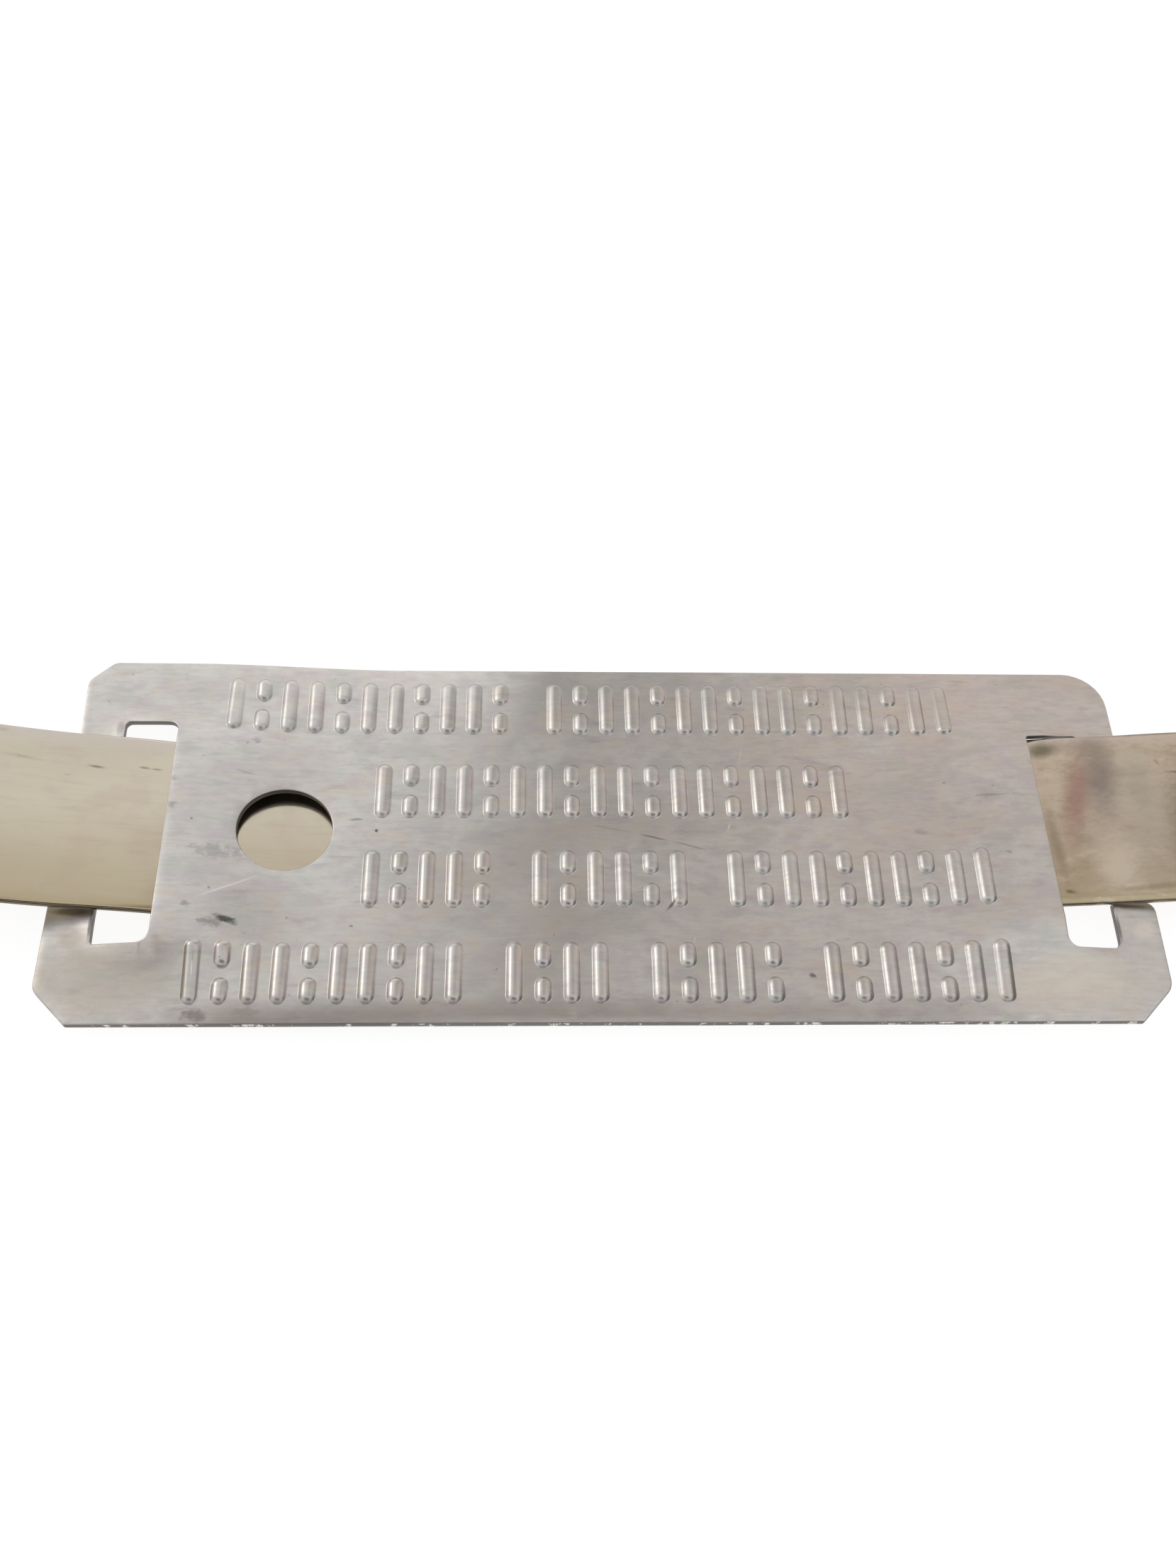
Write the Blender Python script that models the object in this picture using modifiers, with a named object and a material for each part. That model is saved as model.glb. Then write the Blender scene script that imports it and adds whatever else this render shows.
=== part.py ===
"""Earthing pipe clamp: a brass strap with its identification label woven on it, and the
clamp head that pulls the strap tight round a pipe.

Frame: +X along the strap, +Y across it, +Z up. The origin is on the strap's flat
underside, below the middle of the label. Lengths are in metres.
"""
import math

import bmesh
import bpy
from mathutils import Matrix, Vector

MM = 0.001
CLEAR = 0.3 * MM

# Strap
STRAP_WIDTH = 15.5 * MM
STRAP_THICK = 0.6 * MM
STRAP_EDGE = 0.15 * MM
STRAP_TAIL = 56.0 * MM
STRAP_TAIL_ARCH = 3.0 * MM
STRAP_TAIL_ROUND = 2.0 * MM
STRAP_HEAD_RUN = 39.5 * MM
STRAP_HEAD_RISE = 7.0 * MM
STRAP_FOLD_RUN = 16.0 * MM
WEAVE_RUN = 5.5 * MM

# Label
LABEL_LENGTH = 87.0 * MM
LABEL_DEPTH = 32.2 * MM
LABEL_THICK = 0.6 * MM
LABEL_GAP = 0.75 * MM
LABEL_CHAMFER = 2.8 * MM
LABEL_ROUND = 3.4 * MM
LABEL_YAW = math.radians(-0.52)
LABEL_SHIFT_Y = -0.95 * MM
SLOT_WIDTH = 4.1 * MM
SLOT_LENGTH = 19.5 * MM
SLOT_ROUND = 0.9 * MM
CLOSED_LUG = 4.0 * MM
OPEN_LUG = 3.4 * MM
MOUTH_WIDTH = 12.6 * MM
HOLE_RADIUS = 3.8 * MM
HOLE_FROM_SLOT = 9.6 * MM

# How the weave bends the label
SLOT_LIFT = 0.5 * MM
LUG_PRESS = 0.2 * MM
CORNER_CURL = 0.9 * MM
BEND_SPREAD = 12.0 * MM

# Raised beads in rows on the label
BEAD_WIDTH = 1.0 * MM
BEAD_LENGTH = 4.8 * MM
BEAD_HEIGHT = 0.4 * MM
BEAD_PITCH = 2.2 * MM
BEAD_ROW_PITCH = 8.0 * MM
BEAD_WORD_GAP = 3.6 * MM
BEAD_SPLIT = 1.0 * MM
BEAD_MARGIN = 4.2 * MM
# Each row from the back: where it starts, from the closed slot, and its word lengths
BEAD_ROWS = (
    (4.4 * MM, (11, 16)),
    (17.0 * MM, (18,)),
    (16.4 * MM, (5, 6, 11)),
    (3.4 * MM, (10, 4, 5, 8)),
)

# Clamp head
BODY_LENGTH = 26.0 * MM
BODY_HEIGHT = 19.0 * MM
BODY_TOP = 2.5 * MM
BODY_WALL = 2.0 * MM
BODY_BEND = 2.0 * MM
BODY_EDGE = 0.25 * MM
STRAP_SIDE_PLAY = 0.4 * MM
PIPE_SEAT_RADIUS = 12.0 * MM
PIPE_SEAT_DEPTH = 4.8 * MM
TAB_LENGTH = 14.0 * MM
TAB_WIDTH = 12.0 * MM
TAB_ROUND = 2.5 * MM
COLLAR_RADIUS = 5.0 * MM
COLLAR_DEPTH = 2.6 * MM
PIN_RADIUS = 2.0 * MM
PIN_INSET = 4.0 * MM
PIN_HEAD_RADIUS = 3.0 * MM
PIN_HEAD_THICK = 0.9 * MM

# Rivet that closes the strap's loop
RIVET_RADIUS = 1.5 * MM
RIVET_HEAD_RADIUS = 3.0 * MM
RIVET_HEAD_THICK = 1.1 * MM
RIVET_FROM_END = 4.5 * MM

# Tension screw and its lock nut
SCREW_RADIUS = 2.9 * MM
SCREW_TIP_RADIUS = 1.9 * MM
SCREW_TIP_LENGTH = 1.4 * MM
SCREW_ABOVE_NUT = 8.0 * MM
HEX_FLATS = 10.0 * MM
HEX_HEAD_THICK = 4.0 * MM
NUT_THICK = 5.0 * MM
SLOT_CUT_WIDTH = 1.2 * MM
SLOT_CUT_DEPTH = 1.8 * MM
WASHER_THICK = 1.3 * MM
WASHER_WALL = 2.0 * MM
WASHER_SPLIT = 1.0 * MM
WASHER_SPLIT_LEAN = math.radians(25)

# Pressure pad
PAD_LENGTH = 10.0 * MM
PAD_THICK = 3.2 * MM
PAD_UP = 5.0 * MM
PAD_LIP = 1.0 * MM
PAD_LIP_THICK = 1.5 * MM
PAD_EDGE = 0.2 * MM

# Conductor terminal
TERMINAL_RADIUS = 2.35 * MM
TERMINAL_BELOW_TAB = 5.0 * MM
TERMINAL_HEAD_RADIUS = 4.25 * MM
TERMINAL_HEAD_THICK = 3.6 * MM
TERMINAL_PLATE_LENGTH = 11.0 * MM
TERMINAL_PLATE_THICK = 1.5 * MM
TERMINAL_LIP = 2.0 * MM

# Heights and places that follow from the sizes above
LABEL_UNDER = STRAP_THICK + LABEL_GAP
LABEL_TOP = LABEL_UNDER + LABEL_THICK
CLOSED_SLOT_OUT = -LABEL_LENGTH / 2 + CLOSED_LUG
CLOSED_SLOT_IN = CLOSED_SLOT_OUT + SLOT_WIDTH
OPEN_SLOT_OUT = LABEL_LENGTH / 2 - OPEN_LUG
OPEN_SLOT_IN = OPEN_SLOT_OUT - SLOT_WIDTH
HOLE_X = CLOSED_SLOT_IN + HOLE_FROM_SLOT
PIN_X = CLOSED_SLOT_OUT - STRAP_HEAD_RUN - PIN_RADIUS - CLEAR - STRAP_THICK
PIN_Z = STRAP_HEAD_RISE + STRAP_THICK + CLEAR + PIN_RADIUS
BODY_RIGHT = PIN_X + PIN_INSET
BODY_LEFT = BODY_RIGHT - BODY_LENGTH
TAIL_PIN_X = BODY_LEFT + PIN_INSET
SCREW_X = (BODY_LEFT + BODY_RIGHT) / 2
TAB_END = BODY_LEFT - TAB_LENGTH
TERMINAL_X = BODY_LEFT - TAB_LENGTH / 2
BODY_INNER = STRAP_WIDTH + 2 * STRAP_SIDE_PLAY
BODY_OUTER = BODY_INNER + 2 * BODY_WALL
SCREW_HOLE = SCREW_RADIUS + CLEAR
WASHER_BASE = BODY_HEIGHT + CLEAR
NUT_BASE = WASHER_BASE + WASHER_THICK + CLEAR
SCREW_HEAD_BASE = NUT_BASE + NUT_THICK + SCREW_ABOVE_NUT
PAD_TOP = BODY_HEIGHT - BODY_TOP - COLLAR_DEPTH - CLEAR - PAD_UP
PAD_BASE = PAD_TOP - PAD_THICK
FOLD_END = PIN_X + STRAP_FOLD_RUN
RIVET_X = FOLD_END - RIVET_FROM_END


def start_clean():
    """Remove the scene's objects and make the two collections."""
    for thing in list(bpy.data.objects):
        bpy.data.objects.remove(thing, do_unlink=True)
    parts = bpy.data.collections.new("earthing_pipe_clamp")
    cutters = bpy.data.collections.new("cutters")
    for group in (parts, cutters):
        bpy.context.scene.collection.children.link(group)
    return parts, cutters


PARTS, CUTTERS = start_clean()


def material(name, color, roughness):
    """A metal's Principled material, of one plain colour."""
    finish = bpy.data.materials.new(name)
    finish.use_nodes = True
    shader = finish.node_tree.nodes["Principled BSDF"]
    shader.inputs["Base Color"].default_value = (*color, 1.0)
    shader.inputs["Roughness"].default_value = roughness
    shader.inputs["Metallic"].default_value = 1.0
    finish.diffuse_color = (*color, 1.0)
    return finish


TINNED = material("tinned_brass", (0.56, 0.50, 0.40), 0.30)
ALUMINIUM = material("mill_aluminium", (0.58, 0.56, 0.54), 0.38)
PRESSED = material("pressed_brass", (0.60, 0.47, 0.24), 0.34)
TURNED = material("turned_brass", (0.66, 0.53, 0.28), 0.26)
SPRING = material("zinc_plated_steel", (0.50, 0.51, 0.52), 0.32)


def add_object(name, mesh, group=PARTS):
    """Link a mesh as a named object."""
    thing = bpy.data.objects.new(name, mesh)
    group.objects.link(thing)
    return thing


def mesh_from(name, bm):
    """Turn a bmesh into mesh data with its faces pointing out."""
    bmesh.ops.recalc_face_normals(bm, faces=bm.faces)
    mesh = bpy.data.meshes.new(name)
    bm.to_mesh(mesh)
    bm.free()
    return mesh


def block(low, high):
    """A box between two corners, as a bmesh."""
    bm = bmesh.new()
    bmesh.ops.create_cube(bm, size=1.0)
    size = [high[i] - low[i] for i in range(3)]
    middle = [(high[i] + low[i]) / 2 for i in range(3)]
    bmesh.ops.scale(bm, vec=size, verts=bm.verts)
    bmesh.ops.translate(bm, vec=middle, verts=bm.verts)
    return bm


def drum(radius, low, high, sides=40, axis="Z", place=(0, 0, 0)):
    """A cylinder from low to high along an axis through place, as a bmesh."""
    bm = bmesh.new()
    bmesh.ops.create_cone(bm, cap_ends=True, segments=sides, radius1=radius, radius2=radius,
                          depth=high - low)
    bmesh.ops.translate(bm, vec=(0, 0, (low + high) / 2), verts=bm.verts)
    if axis == "Y":
        bmesh.ops.rotate(bm, matrix=Matrix.Rotation(math.radians(-90), 3, "X"), verts=bm.verts)
    bmesh.ops.translate(bm, vec=place, verts=bm.verts)
    return bm


def turned(name, profile, sides=40):
    """A solid turned about Z from a profile of (radius, height) that runs top to bottom."""
    bm = bmesh.new()
    points = [bm.verts.new((radius, 0, height)) for radius, height in profile]
    for first, second in zip(points, points[1:]):
        bm.edges.new((first, second))
    mesh = bpy.data.meshes.new(name)
    bm.to_mesh(mesh)
    bm.free()
    thing = add_object(name, mesh)
    turn = thing.modifiers.new("turn", "SCREW")
    turn.steps = sides
    turn.render_steps = sides
    turn.use_merge_vertices = True
    turn.merge_threshold = 0.00001
    return apply_modifiers(thing)


def apply_modifiers(thing):
    """Replace an object's mesh by its evaluated mesh, without modifiers."""
    bpy.context.view_layer.update()
    graph = bpy.context.evaluated_depsgraph_get()
    mesh = bpy.data.meshes.new_from_object(thing.evaluated_get(graph))
    mesh.name = thing.name
    thing.modifiers.clear()
    thing.data = mesh
    return thing


def combine(thing, bm, operation, name="tool"):
    """Cut a bmesh from an object, or join it on, with a Boolean modifier."""
    tool = add_object(thing.name + "_" + name, mesh_from(name, bm), CUTTERS)
    tool.hide_render = True
    tool.display_type = "WIRE"
    step = thing.modifiers.new(name, "BOOLEAN")
    step.operation = operation
    step.solver = "EXACT"
    step.object = tool
    return thing


def take_mesh(thing):
    """Take an object's mesh as a bmesh and remove the object."""
    bm = bmesh.new()
    bm.from_mesh(thing.data)
    bpy.data.objects.remove(thing, do_unlink=True)
    return bm


def cut(thing, bm, name="cut"):
    return combine(thing, bm, "DIFFERENCE", name)


def join(thing, bm, name="join"):
    return combine(thing, bm, "UNION", name)


def soften(thing, width, segments=2, angle=40):
    """Bevel an object's sharp edges."""
    edge = thing.modifiers.new("edge", "BEVEL")
    edge.width = width
    edge.segments = segments
    edge.limit_method = "ANGLE"
    edge.angle_limit = math.radians(angle)
    edge.harden_normals = False
    return thing


def finish_part(thing, finish, place=(0, 0, 0), angle=35):
    """Apply the modifiers, move the piece to its place, give it its material and shading."""
    apply_modifiers(thing)
    thing.location = place
    thing.data.materials.clear()
    thing.data.materials.append(finish)
    thing.data.shade_smooth()
    thing.data.set_sharp_from_angle(angle=math.radians(angle))
    return thing


def rounded_outline(corners, steps=5):
    """Points of a closed outline from (x, y, radius) corners, with arcs at the corners."""
    points = []
    count = len(corners)
    for index, (x, y, radius) in enumerate(corners):
        here = Vector((x, y))
        if radius <= 0:
            points.append(here)
            continue
        back = (Vector(corners[index - 1][:2]) - here).normalized()
        ahead = (Vector(corners[(index + 1) % count][:2]) - here).normalized()
        half = back.angle(ahead) / 2
        run = radius / math.tan(half)
        centre = here + (back + ahead).normalized() * radius / math.sin(half)
        start = here + back * run - centre
        end = here + ahead * run - centre
        sweep = start.angle_signed(end)
        for step in range(steps + 1):
            turn = Matrix.Rotation(-sweep * step / steps, 2)
            points.append(centre + turn @ start)
    return points


def plate_from_outlines(name, outlines, thick):
    """A flat plate with holes: a filled 2D curve, extruded and turned into a mesh."""
    curve = bpy.data.curves.new(name, "CURVE")
    curve.dimensions = "2D"
    curve.fill_mode = "BOTH"
    curve.extrude = thick / 2
    for outline in outlines:
        spline = curve.splines.new("POLY")
        spline.points.add(len(outline) - 1)
        for point, place in zip(spline.points, outline):
            point.co = (place[0], place[1], 0, 1)
        spline.use_cyclic_u = True
    guide = bpy.data.objects.new(name + "_curve", curve)
    PARTS.objects.link(guide)
    bpy.context.view_layer.update()
    graph = bpy.context.evaluated_depsgraph_get()
    mesh = bpy.data.meshes.new_from_object(guide.evaluated_get(graph))
    bpy.data.objects.remove(guide, do_unlink=True)
    bm = bmesh.new()
    bm.from_mesh(mesh)
    bmesh.ops.remove_doubles(bm, verts=bm.verts, dist=0.000001)
    bmesh.ops.dissolve_limit(bm, angle_limit=math.radians(1), verts=bm.verts, edges=bm.edges)
    return bm


def ramp(value, low, high):
    """0 below low, 1 above high and a smooth rise between."""
    share = min(max((value - low) / (high - low), 0.0), 1.0)
    return share * share * (3 - 2 * share)


def label_bend(x, y):
    """How far the weave bends the label up at a point, in the label's own frame."""
    near_strap = 1 - ramp(abs(y), STRAP_WIDTH / 2, LABEL_DEPTH / 2 - LABEL_CHAMFER)
    lift = 0.0
    for inner, outer, side in ((CLOSED_SLOT_IN, CLOSED_SLOT_OUT, -1),
                               (OPEN_SLOT_IN, OPEN_SLOT_OUT, 1)):
        inside = ramp(side * x, side * inner - BEND_SPREAD, side * inner)
        past = ramp(side * x, side * inner, side * outer)
        lift += near_strap * (SLOT_LIFT * inside * (1 - past) - LUG_PRESS * past)
    back = ramp(y, STRAP_WIDTH / 2, LABEL_DEPTH / 2)
    end = 1 - ramp(x, CLOSED_SLOT_IN, CLOSED_SLOT_IN + BEND_SPREAD * 1.5)
    return lift + CORNER_CURL * back * end


def label_outlines():
    """The label's outer outline with its open slot, its closed slot and its hole."""
    end = LABEL_LENGTH / 2
    side = LABEL_DEPTH / 2
    slot = SLOT_LENGTH / 2
    mouth = MOUTH_WIDTH / 2
    outer = rounded_outline((
        (-end, -side + LABEL_CHAMFER, 0), (-end + LABEL_CHAMFER, -side, 0),
        (end - LABEL_CHAMFER, -side, 0), (end, -side + LABEL_CHAMFER, 0),
        (end, -mouth, SLOT_ROUND), (OPEN_SLOT_OUT, -mouth, SLOT_ROUND),
        (OPEN_SLOT_OUT, -slot, SLOT_ROUND), (OPEN_SLOT_IN, -slot, SLOT_ROUND),
        (OPEN_SLOT_IN, slot, SLOT_ROUND), (OPEN_SLOT_OUT, slot, SLOT_ROUND),
        (OPEN_SLOT_OUT, mouth, SLOT_ROUND), (end, mouth, SLOT_ROUND),
        (end, side, LABEL_ROUND), (-end + LABEL_CHAMFER, side, 0),
        (-end, side - LABEL_CHAMFER, 0)))
    closed = rounded_outline((
        (CLOSED_SLOT_OUT, -slot, SLOT_ROUND), (CLOSED_SLOT_IN, -slot, SLOT_ROUND),
        (CLOSED_SLOT_IN, slot, SLOT_ROUND), (CLOSED_SLOT_OUT, slot, SLOT_ROUND)))
    sides = 32
    hole = [Vector((HOLE_X + HOLE_RADIUS * math.cos(2 * math.pi * i / sides),
                    HOLE_RADIUS * math.sin(2 * math.pi * i / sides))) for i in range(sides)]
    return [outer, closed, hole]


def bead_places():
    """Centre and length of each raised bead, row by row, up to the open slot."""
    limit = OPEN_SLOT_IN - BEAD_MARGIN
    half = (BEAD_LENGTH - BEAD_SPLIT) / 2
    places = []
    for row, (start, words) in enumerate(BEAD_ROWS):
        y = ((len(BEAD_ROWS) - 1) / 2 - row) * BEAD_ROW_PITCH
        x = CLOSED_SLOT_IN + start
        for count in words:
            for index in range(count):
                if x > limit:
                    break
                if index % 3 == 1:
                    places.append((x, y + (half + BEAD_SPLIT) / 2, half))
                    places.append((x, y - (half + BEAD_SPLIT) / 2, half))
                else:
                    places.append((x, y, BEAD_LENGTH))
                x += BEAD_PITCH
            x += BEAD_WORD_GAP - BEAD_PITCH + BEAD_WIDTH
    return places


def bead(bm, x, y, length):
    """One eight-sided bead with sloping sides, standing in the label's top face."""
    width = BEAD_WIDTH / 2
    nose = BEAD_WIDTH / 4
    root = LABEL_TOP - LABEL_THICK / 3
    crown = LABEL_TOP + BEAD_HEIGHT
    shape = [(-width, nose), (-nose, 0), (nose, 0), (width, nose)]
    rings = []
    for height, scale in ((root, 1.25), (crown, 0.6)):
        ring = []
        for px, py in shape:
            ring.append((px * scale, -length / 2 + py + (1 - scale) * nose))
        for px, py in reversed(shape):
            ring.append((px * scale, length / 2 - py - (1 - scale) * nose))
        rings.append([bm.verts.new((x + px, y + py, height)) for px, py in ring])
    low, high = rings
    bm.faces.new(list(reversed(low)))
    bm.faces.new(high)
    for i in range(len(low)):
        j = (i + 1) % len(low)
        bm.faces.new((low[i], low[j], high[j], high[i]))


def make_label():
    """The identification label, bent a little by the weave, with its rows of beads."""
    bm = plate_from_outlines("label", label_outlines(), LABEL_THICK)
    bmesh.ops.translate(bm, vec=(0, 0, LABEL_TOP - LABEL_THICK / 2), verts=bm.verts)
    lines_x = [CLOSED_SLOT_OUT, CLOSED_SLOT_IN, OPEN_SLOT_IN, OPEN_SLOT_OUT]
    for step in range(1, 6):
        lines_x.append(CLOSED_SLOT_IN + BEND_SPREAD * 1.5 * step / 5)
        lines_x.append(OPEN_SLOT_IN - BEND_SPREAD * step / 5)
    inner = STRAP_WIDTH / 2
    outer = LABEL_DEPTH / 2 - LABEL_CHAMFER
    lines_y = [side * (inner + (outer - inner) * step / 2) for side in (-1, 1) for step in range(3)]
    for normal, lines in (((1, 0, 0), lines_x), ((0, 1, 0), lines_y)):
        for line in lines:
            everything = list(bm.verts) + list(bm.edges) + list(bm.faces)
            bmesh.ops.bisect_plane(bm, geom=everything, dist=0.0000001,
                                   plane_co=Vector(normal) * line, plane_no=normal)
    label = add_object("label", mesh_from("label", bm))
    beads = bmesh.new()
    for x, y, length in bead_places():
        bead(beads, x, y, length)
    join(label, beads, "beads")
    apply_modifiers(label)
    bm = bmesh.new()
    bm.from_mesh(label.data)
    bmesh.ops.triangulate(bm, faces=bm.faces)
    for vert in bm.verts:
        vert.co.z += label_bend(vert.co.x, vert.co.y)
    bm.to_mesh(label.data)
    bm.free()
    label.rotation_euler = (0, 0, LABEL_YAW)
    return finish_part(label, ALUMINIUM, (0, LABEL_SHIFT_Y, 0))


def strap_knots():
    """Underside of the strap: (x, height, slope) from the head to the free end."""
    low = LABEL_UNDER + SLOT_LIFT - CLEAR - STRAP_THICK
    high = LABEL_TOP - LUG_PRESS + CLEAR
    slope = (high - low) / SLOT_WIDTH
    run = CLOSED_SLOT_OUT - PIN_X
    visible = CLOSED_SLOT_OUT - run / 4
    seen_rise = high + slope * run / 4
    tail = OPEN_SLOT_OUT + STRAP_TAIL
    return [
        (PIN_X, STRAP_HEAD_RISE, 0.0),
        (FOLD_END, STRAP_HEAD_RISE, 0.0),
        (visible, seen_rise, -slope),
        (CLOSED_SLOT_OUT, high, -slope * 0.85),
        (CLOSED_SLOT_IN, low, -slope),
        (CLOSED_SLOT_IN + WEAVE_RUN, 0.0, 0.0),
        (OPEN_SLOT_IN - WEAVE_RUN, 0.0, 0.0),
        (OPEN_SLOT_IN, low, slope),
        (OPEN_SLOT_OUT, high, slope * 0.8),
        (OPEN_SLOT_OUT + STRAP_TAIL / 5, STRAP_TAIL_ARCH, 0.0),
        (OPEN_SLOT_OUT + STRAP_TAIL * 0.6, 0.0, 0.0),
        (tail, 0.0, 0.0),
    ]


def strap_path():
    """Middle line of the strap in X and Z: folded end, loop round the pin, then the run."""
    half = STRAP_THICK / 2
    loop = PIN_RADIUS + CLEAR + half
    lie = STRAP_HEAD_RISE + STRAP_THICK + CLEAR + half
    touch = PIN_X + 2.4 * loop
    path = [(FOLD_END, lie), (touch, lie)]
    steps = 6
    drop = PIN_Z + loop - lie
    for step in range(1, steps):
        share = step / steps
        path.append((touch + (PIN_X - touch) * share, lie + drop * ramp(share, 0, 1)))
    turns = 14
    for step in range(turns):
        angle = math.pi / 2 + math.pi * step / turns
        path.append((PIN_X + loop * math.cos(angle), PIN_Z + loop * math.sin(angle)))
    knots = strap_knots()
    for (x0, z0, s0), (x1, z1, s1) in zip(knots, knots[1:]):
        run = x1 - x0
        flat = z0 == z1 and s0 == 0 and s1 == 0
        pieces = 1 if flat else 7
        for piece in range(pieces):
            t = piece / pieces
            a = 2 * t ** 3 - 3 * t ** 2 + 1
            b = t ** 3 - 2 * t ** 2 + t
            c = -2 * t ** 3 + 3 * t ** 2
            d = t ** 3 - t ** 2
            z = a * z0 + b * run * s0 + c * z1 + d * run * s1
            path.append((x0 + run * t, z + half))
    path.append((knots[-1][0], knots[-1][1] + half))
    return path


def make_strap():
    """The strap: an open ribbon along its path, thickened, holed for the rivet."""
    bm = bmesh.new()
    rows = []
    for x, z in strap_path():
        rows.append([bm.verts.new((x, side * STRAP_WIDTH / 2, z)) for side in (-1, 1)])
    for first, second in zip(rows, rows[1:]):
        bm.faces.new((first[0], second[0], second[1], first[1]))
    for end, size in ((rows[0], RIVET_RADIUS), (rows[-1], STRAP_TAIL_ROUND)):
        bmesh.ops.bevel(bm, geom=end, offset=size, segments=4, profile=0.5, affect="VERTICES")
    mesh = bpy.data.meshes.new("strap")
    bm.to_mesh(mesh)
    bm.free()
    strap = add_object("strap", mesh)
    wall = strap.modifiers.new("wall", "SOLIDIFY")
    wall.thickness = STRAP_THICK
    wall.offset = 0.0
    wall.use_even_offset = True
    soften(strap, STRAP_EDGE, 1, 60)
    cut(strap, drum(RIVET_RADIUS + CLEAR, 0, PIN_Z + PIN_RADIUS, 24, place=(RIVET_X, 0, 0)),
        "rivet_hole")
    return finish_part(strap, TINNED)


def make_strap_rivet():
    """The rivet through both layers of the strap's fold, domed on both sides."""
    low = -STRAP_THICK - CLEAR / 2
    gap = -low + CLEAR
    crown = gap + RIVET_HEAD_THICK
    profile = [(0, crown), (RIVET_HEAD_RADIUS * 0.55, crown - RIVET_HEAD_THICK * 0.15),
               (RIVET_HEAD_RADIUS * 0.9, gap + RIVET_HEAD_THICK * 0.4), (RIVET_HEAD_RADIUS, gap),
               (RIVET_RADIUS, gap)]
    profile += [(radius, -height) for radius, height in reversed(profile)]
    rivet = turned("strap_rivet", profile, 28)
    return finish_part(rivet, TURNED, (RIVET_X, 0, STRAP_HEAD_RISE + STRAP_THICK + CLEAR / 2))


def make_clamp_body():
    """The pressed body: a channel over the strap's pins, with a collar and a terminal tab."""
    wide = BODY_OUTER / 2
    thin = BODY_INNER / 2
    top = BODY_HEIGHT
    under = BODY_HEIGHT - BODY_TOP
    bend = BODY_BEND / 2
    section = rounded_outline((
        (-wide, 0, 0), (-thin, 0, 0), (-thin, under, bend), (thin, under, bend),
        (thin, 0, 0), (wide, 0, 0), (wide, top, BODY_BEND), (-wide, top, BODY_BEND)))
    length = BODY_RIGHT - TAB_END
    bm = plate_from_outlines("clamp_body", [section], length)
    stand = Matrix(((0, 0, 1), (1, 0, 0), (0, 1, 0)))
    bmesh.ops.transform(bm, matrix=stand.to_4x4(), verts=bm.verts)
    bmesh.ops.translate(bm, vec=((TAB_END + BODY_RIGHT) / 2, 0, 0), verts=bm.verts)
    body = add_object("clamp_body", mesh_from("clamp_body", bm))
    far = TAB_END - BODY_WALL
    past = wide + BODY_WALL
    cut(body, block((far, -past, -BODY_WALL), (BODY_LEFT, past, under)), "under_tab")
    for side in (-1, 1):
        edges = sorted((side * TAB_WIDTH / 2, side * past))
        cut(body, block((far, edges[0], 0), (BODY_LEFT, edges[1], top + BODY_WALL)), "tab_side")
    seat = drum(PIPE_SEAT_RADIUS, -past, past, 64, axis="Y",
                place=(SCREW_X, 0, PIPE_SEAT_DEPTH - PIPE_SEAT_RADIUS))
    cut(body, seat, "pipe_seat")
    collar = drum(COLLAR_RADIUS, under - COLLAR_DEPTH, top - BODY_TOP / 2, 40,
                  place=(SCREW_X, 0, 0))
    join(body, collar, "collar")
    cut(body, drum(SCREW_HOLE, 0, 2 * top, 40, place=(SCREW_X, 0, 0)), "screw_hole")
    cut(body, drum(TERMINAL_RADIUS + CLEAR, 0, 2 * top, 32, place=(TERMINAL_X, 0, 0)),
        "terminal_hole")
    for x in (PIN_X, TAIL_PIN_X):
        cut(body, drum(PIN_RADIUS + CLEAR, -past, past, 32, axis="Y", place=(x, 0, PIN_Z)),
            "pin_hole")
    apply_modifiers(body)
    round_tab(body)
    soften(body, BODY_EDGE, 1, 60)
    return finish_part(body, PRESSED)


def round_tab(body):
    """Round the two outer corners of the terminal tab."""
    bm = bmesh.new()
    bm.from_mesh(body.data)
    bmesh.ops.remove_doubles(bm, verts=bm.verts, dist=0.000001)
    bmesh.ops.dissolve_limit(bm, angle_limit=math.radians(0.5), verts=bm.verts, edges=bm.edges)
    corners = []
    for edge in bm.edges:
        ends = [vert.co for vert in edge.verts]
        upright = abs(ends[0].z - ends[1].z) > BODY_TOP / 2
        at_end = all(abs(end.x - TAB_END) < 0.01 * MM for end in ends)
        if upright and at_end:
            corners.append(edge)
    bmesh.ops.bevel(bm, geom=corners, offset=TAB_ROUND, segments=5, profile=0.5,
                    affect="EDGES")
    bm.to_mesh(body.data)
    bm.free()


def make_pin(name, x):
    """A pin riveted across the body's two walls."""
    reach = BODY_OUTER / 2 + CLEAR
    tip = reach + PIN_HEAD_THICK
    profile = [(0, tip), (PIN_HEAD_RADIUS * 0.7, tip), (PIN_HEAD_RADIUS, tip - PIN_HEAD_THICK / 2),
               (PIN_HEAD_RADIUS, reach), (PIN_RADIUS, reach)]
    profile += [(radius, -height) for radius, height in reversed(profile)]
    pin = turned(name, profile, 32)
    pin.rotation_euler = (math.radians(90), 0, 0)
    return finish_part(pin, TURNED, (x, 0, PIN_Z))


def hex_block(name, low, high, chamfer_base=False):
    """A hexagon with its corners turned off at the top, or at both ends."""
    corner = HEX_FLATS / 2 / math.cos(math.pi / 6)
    face = HEX_FLATS / 2 * 0.95
    wide = corner * 1.04
    slope = (wide - face) * 0.6
    profile = [(0, high), (face, high), (wide, high - slope)]
    profile += [(wide, low + slope), (face, low), (0, low)] if chamfer_base else [(wide, low), (0, low)]
    thing = turned(name, profile, 48)
    flats = drum(corner, low - slope, high + slope, 6)
    return apply_modifiers(combine(thing, flats, "INTERSECT", "flats"))


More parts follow.
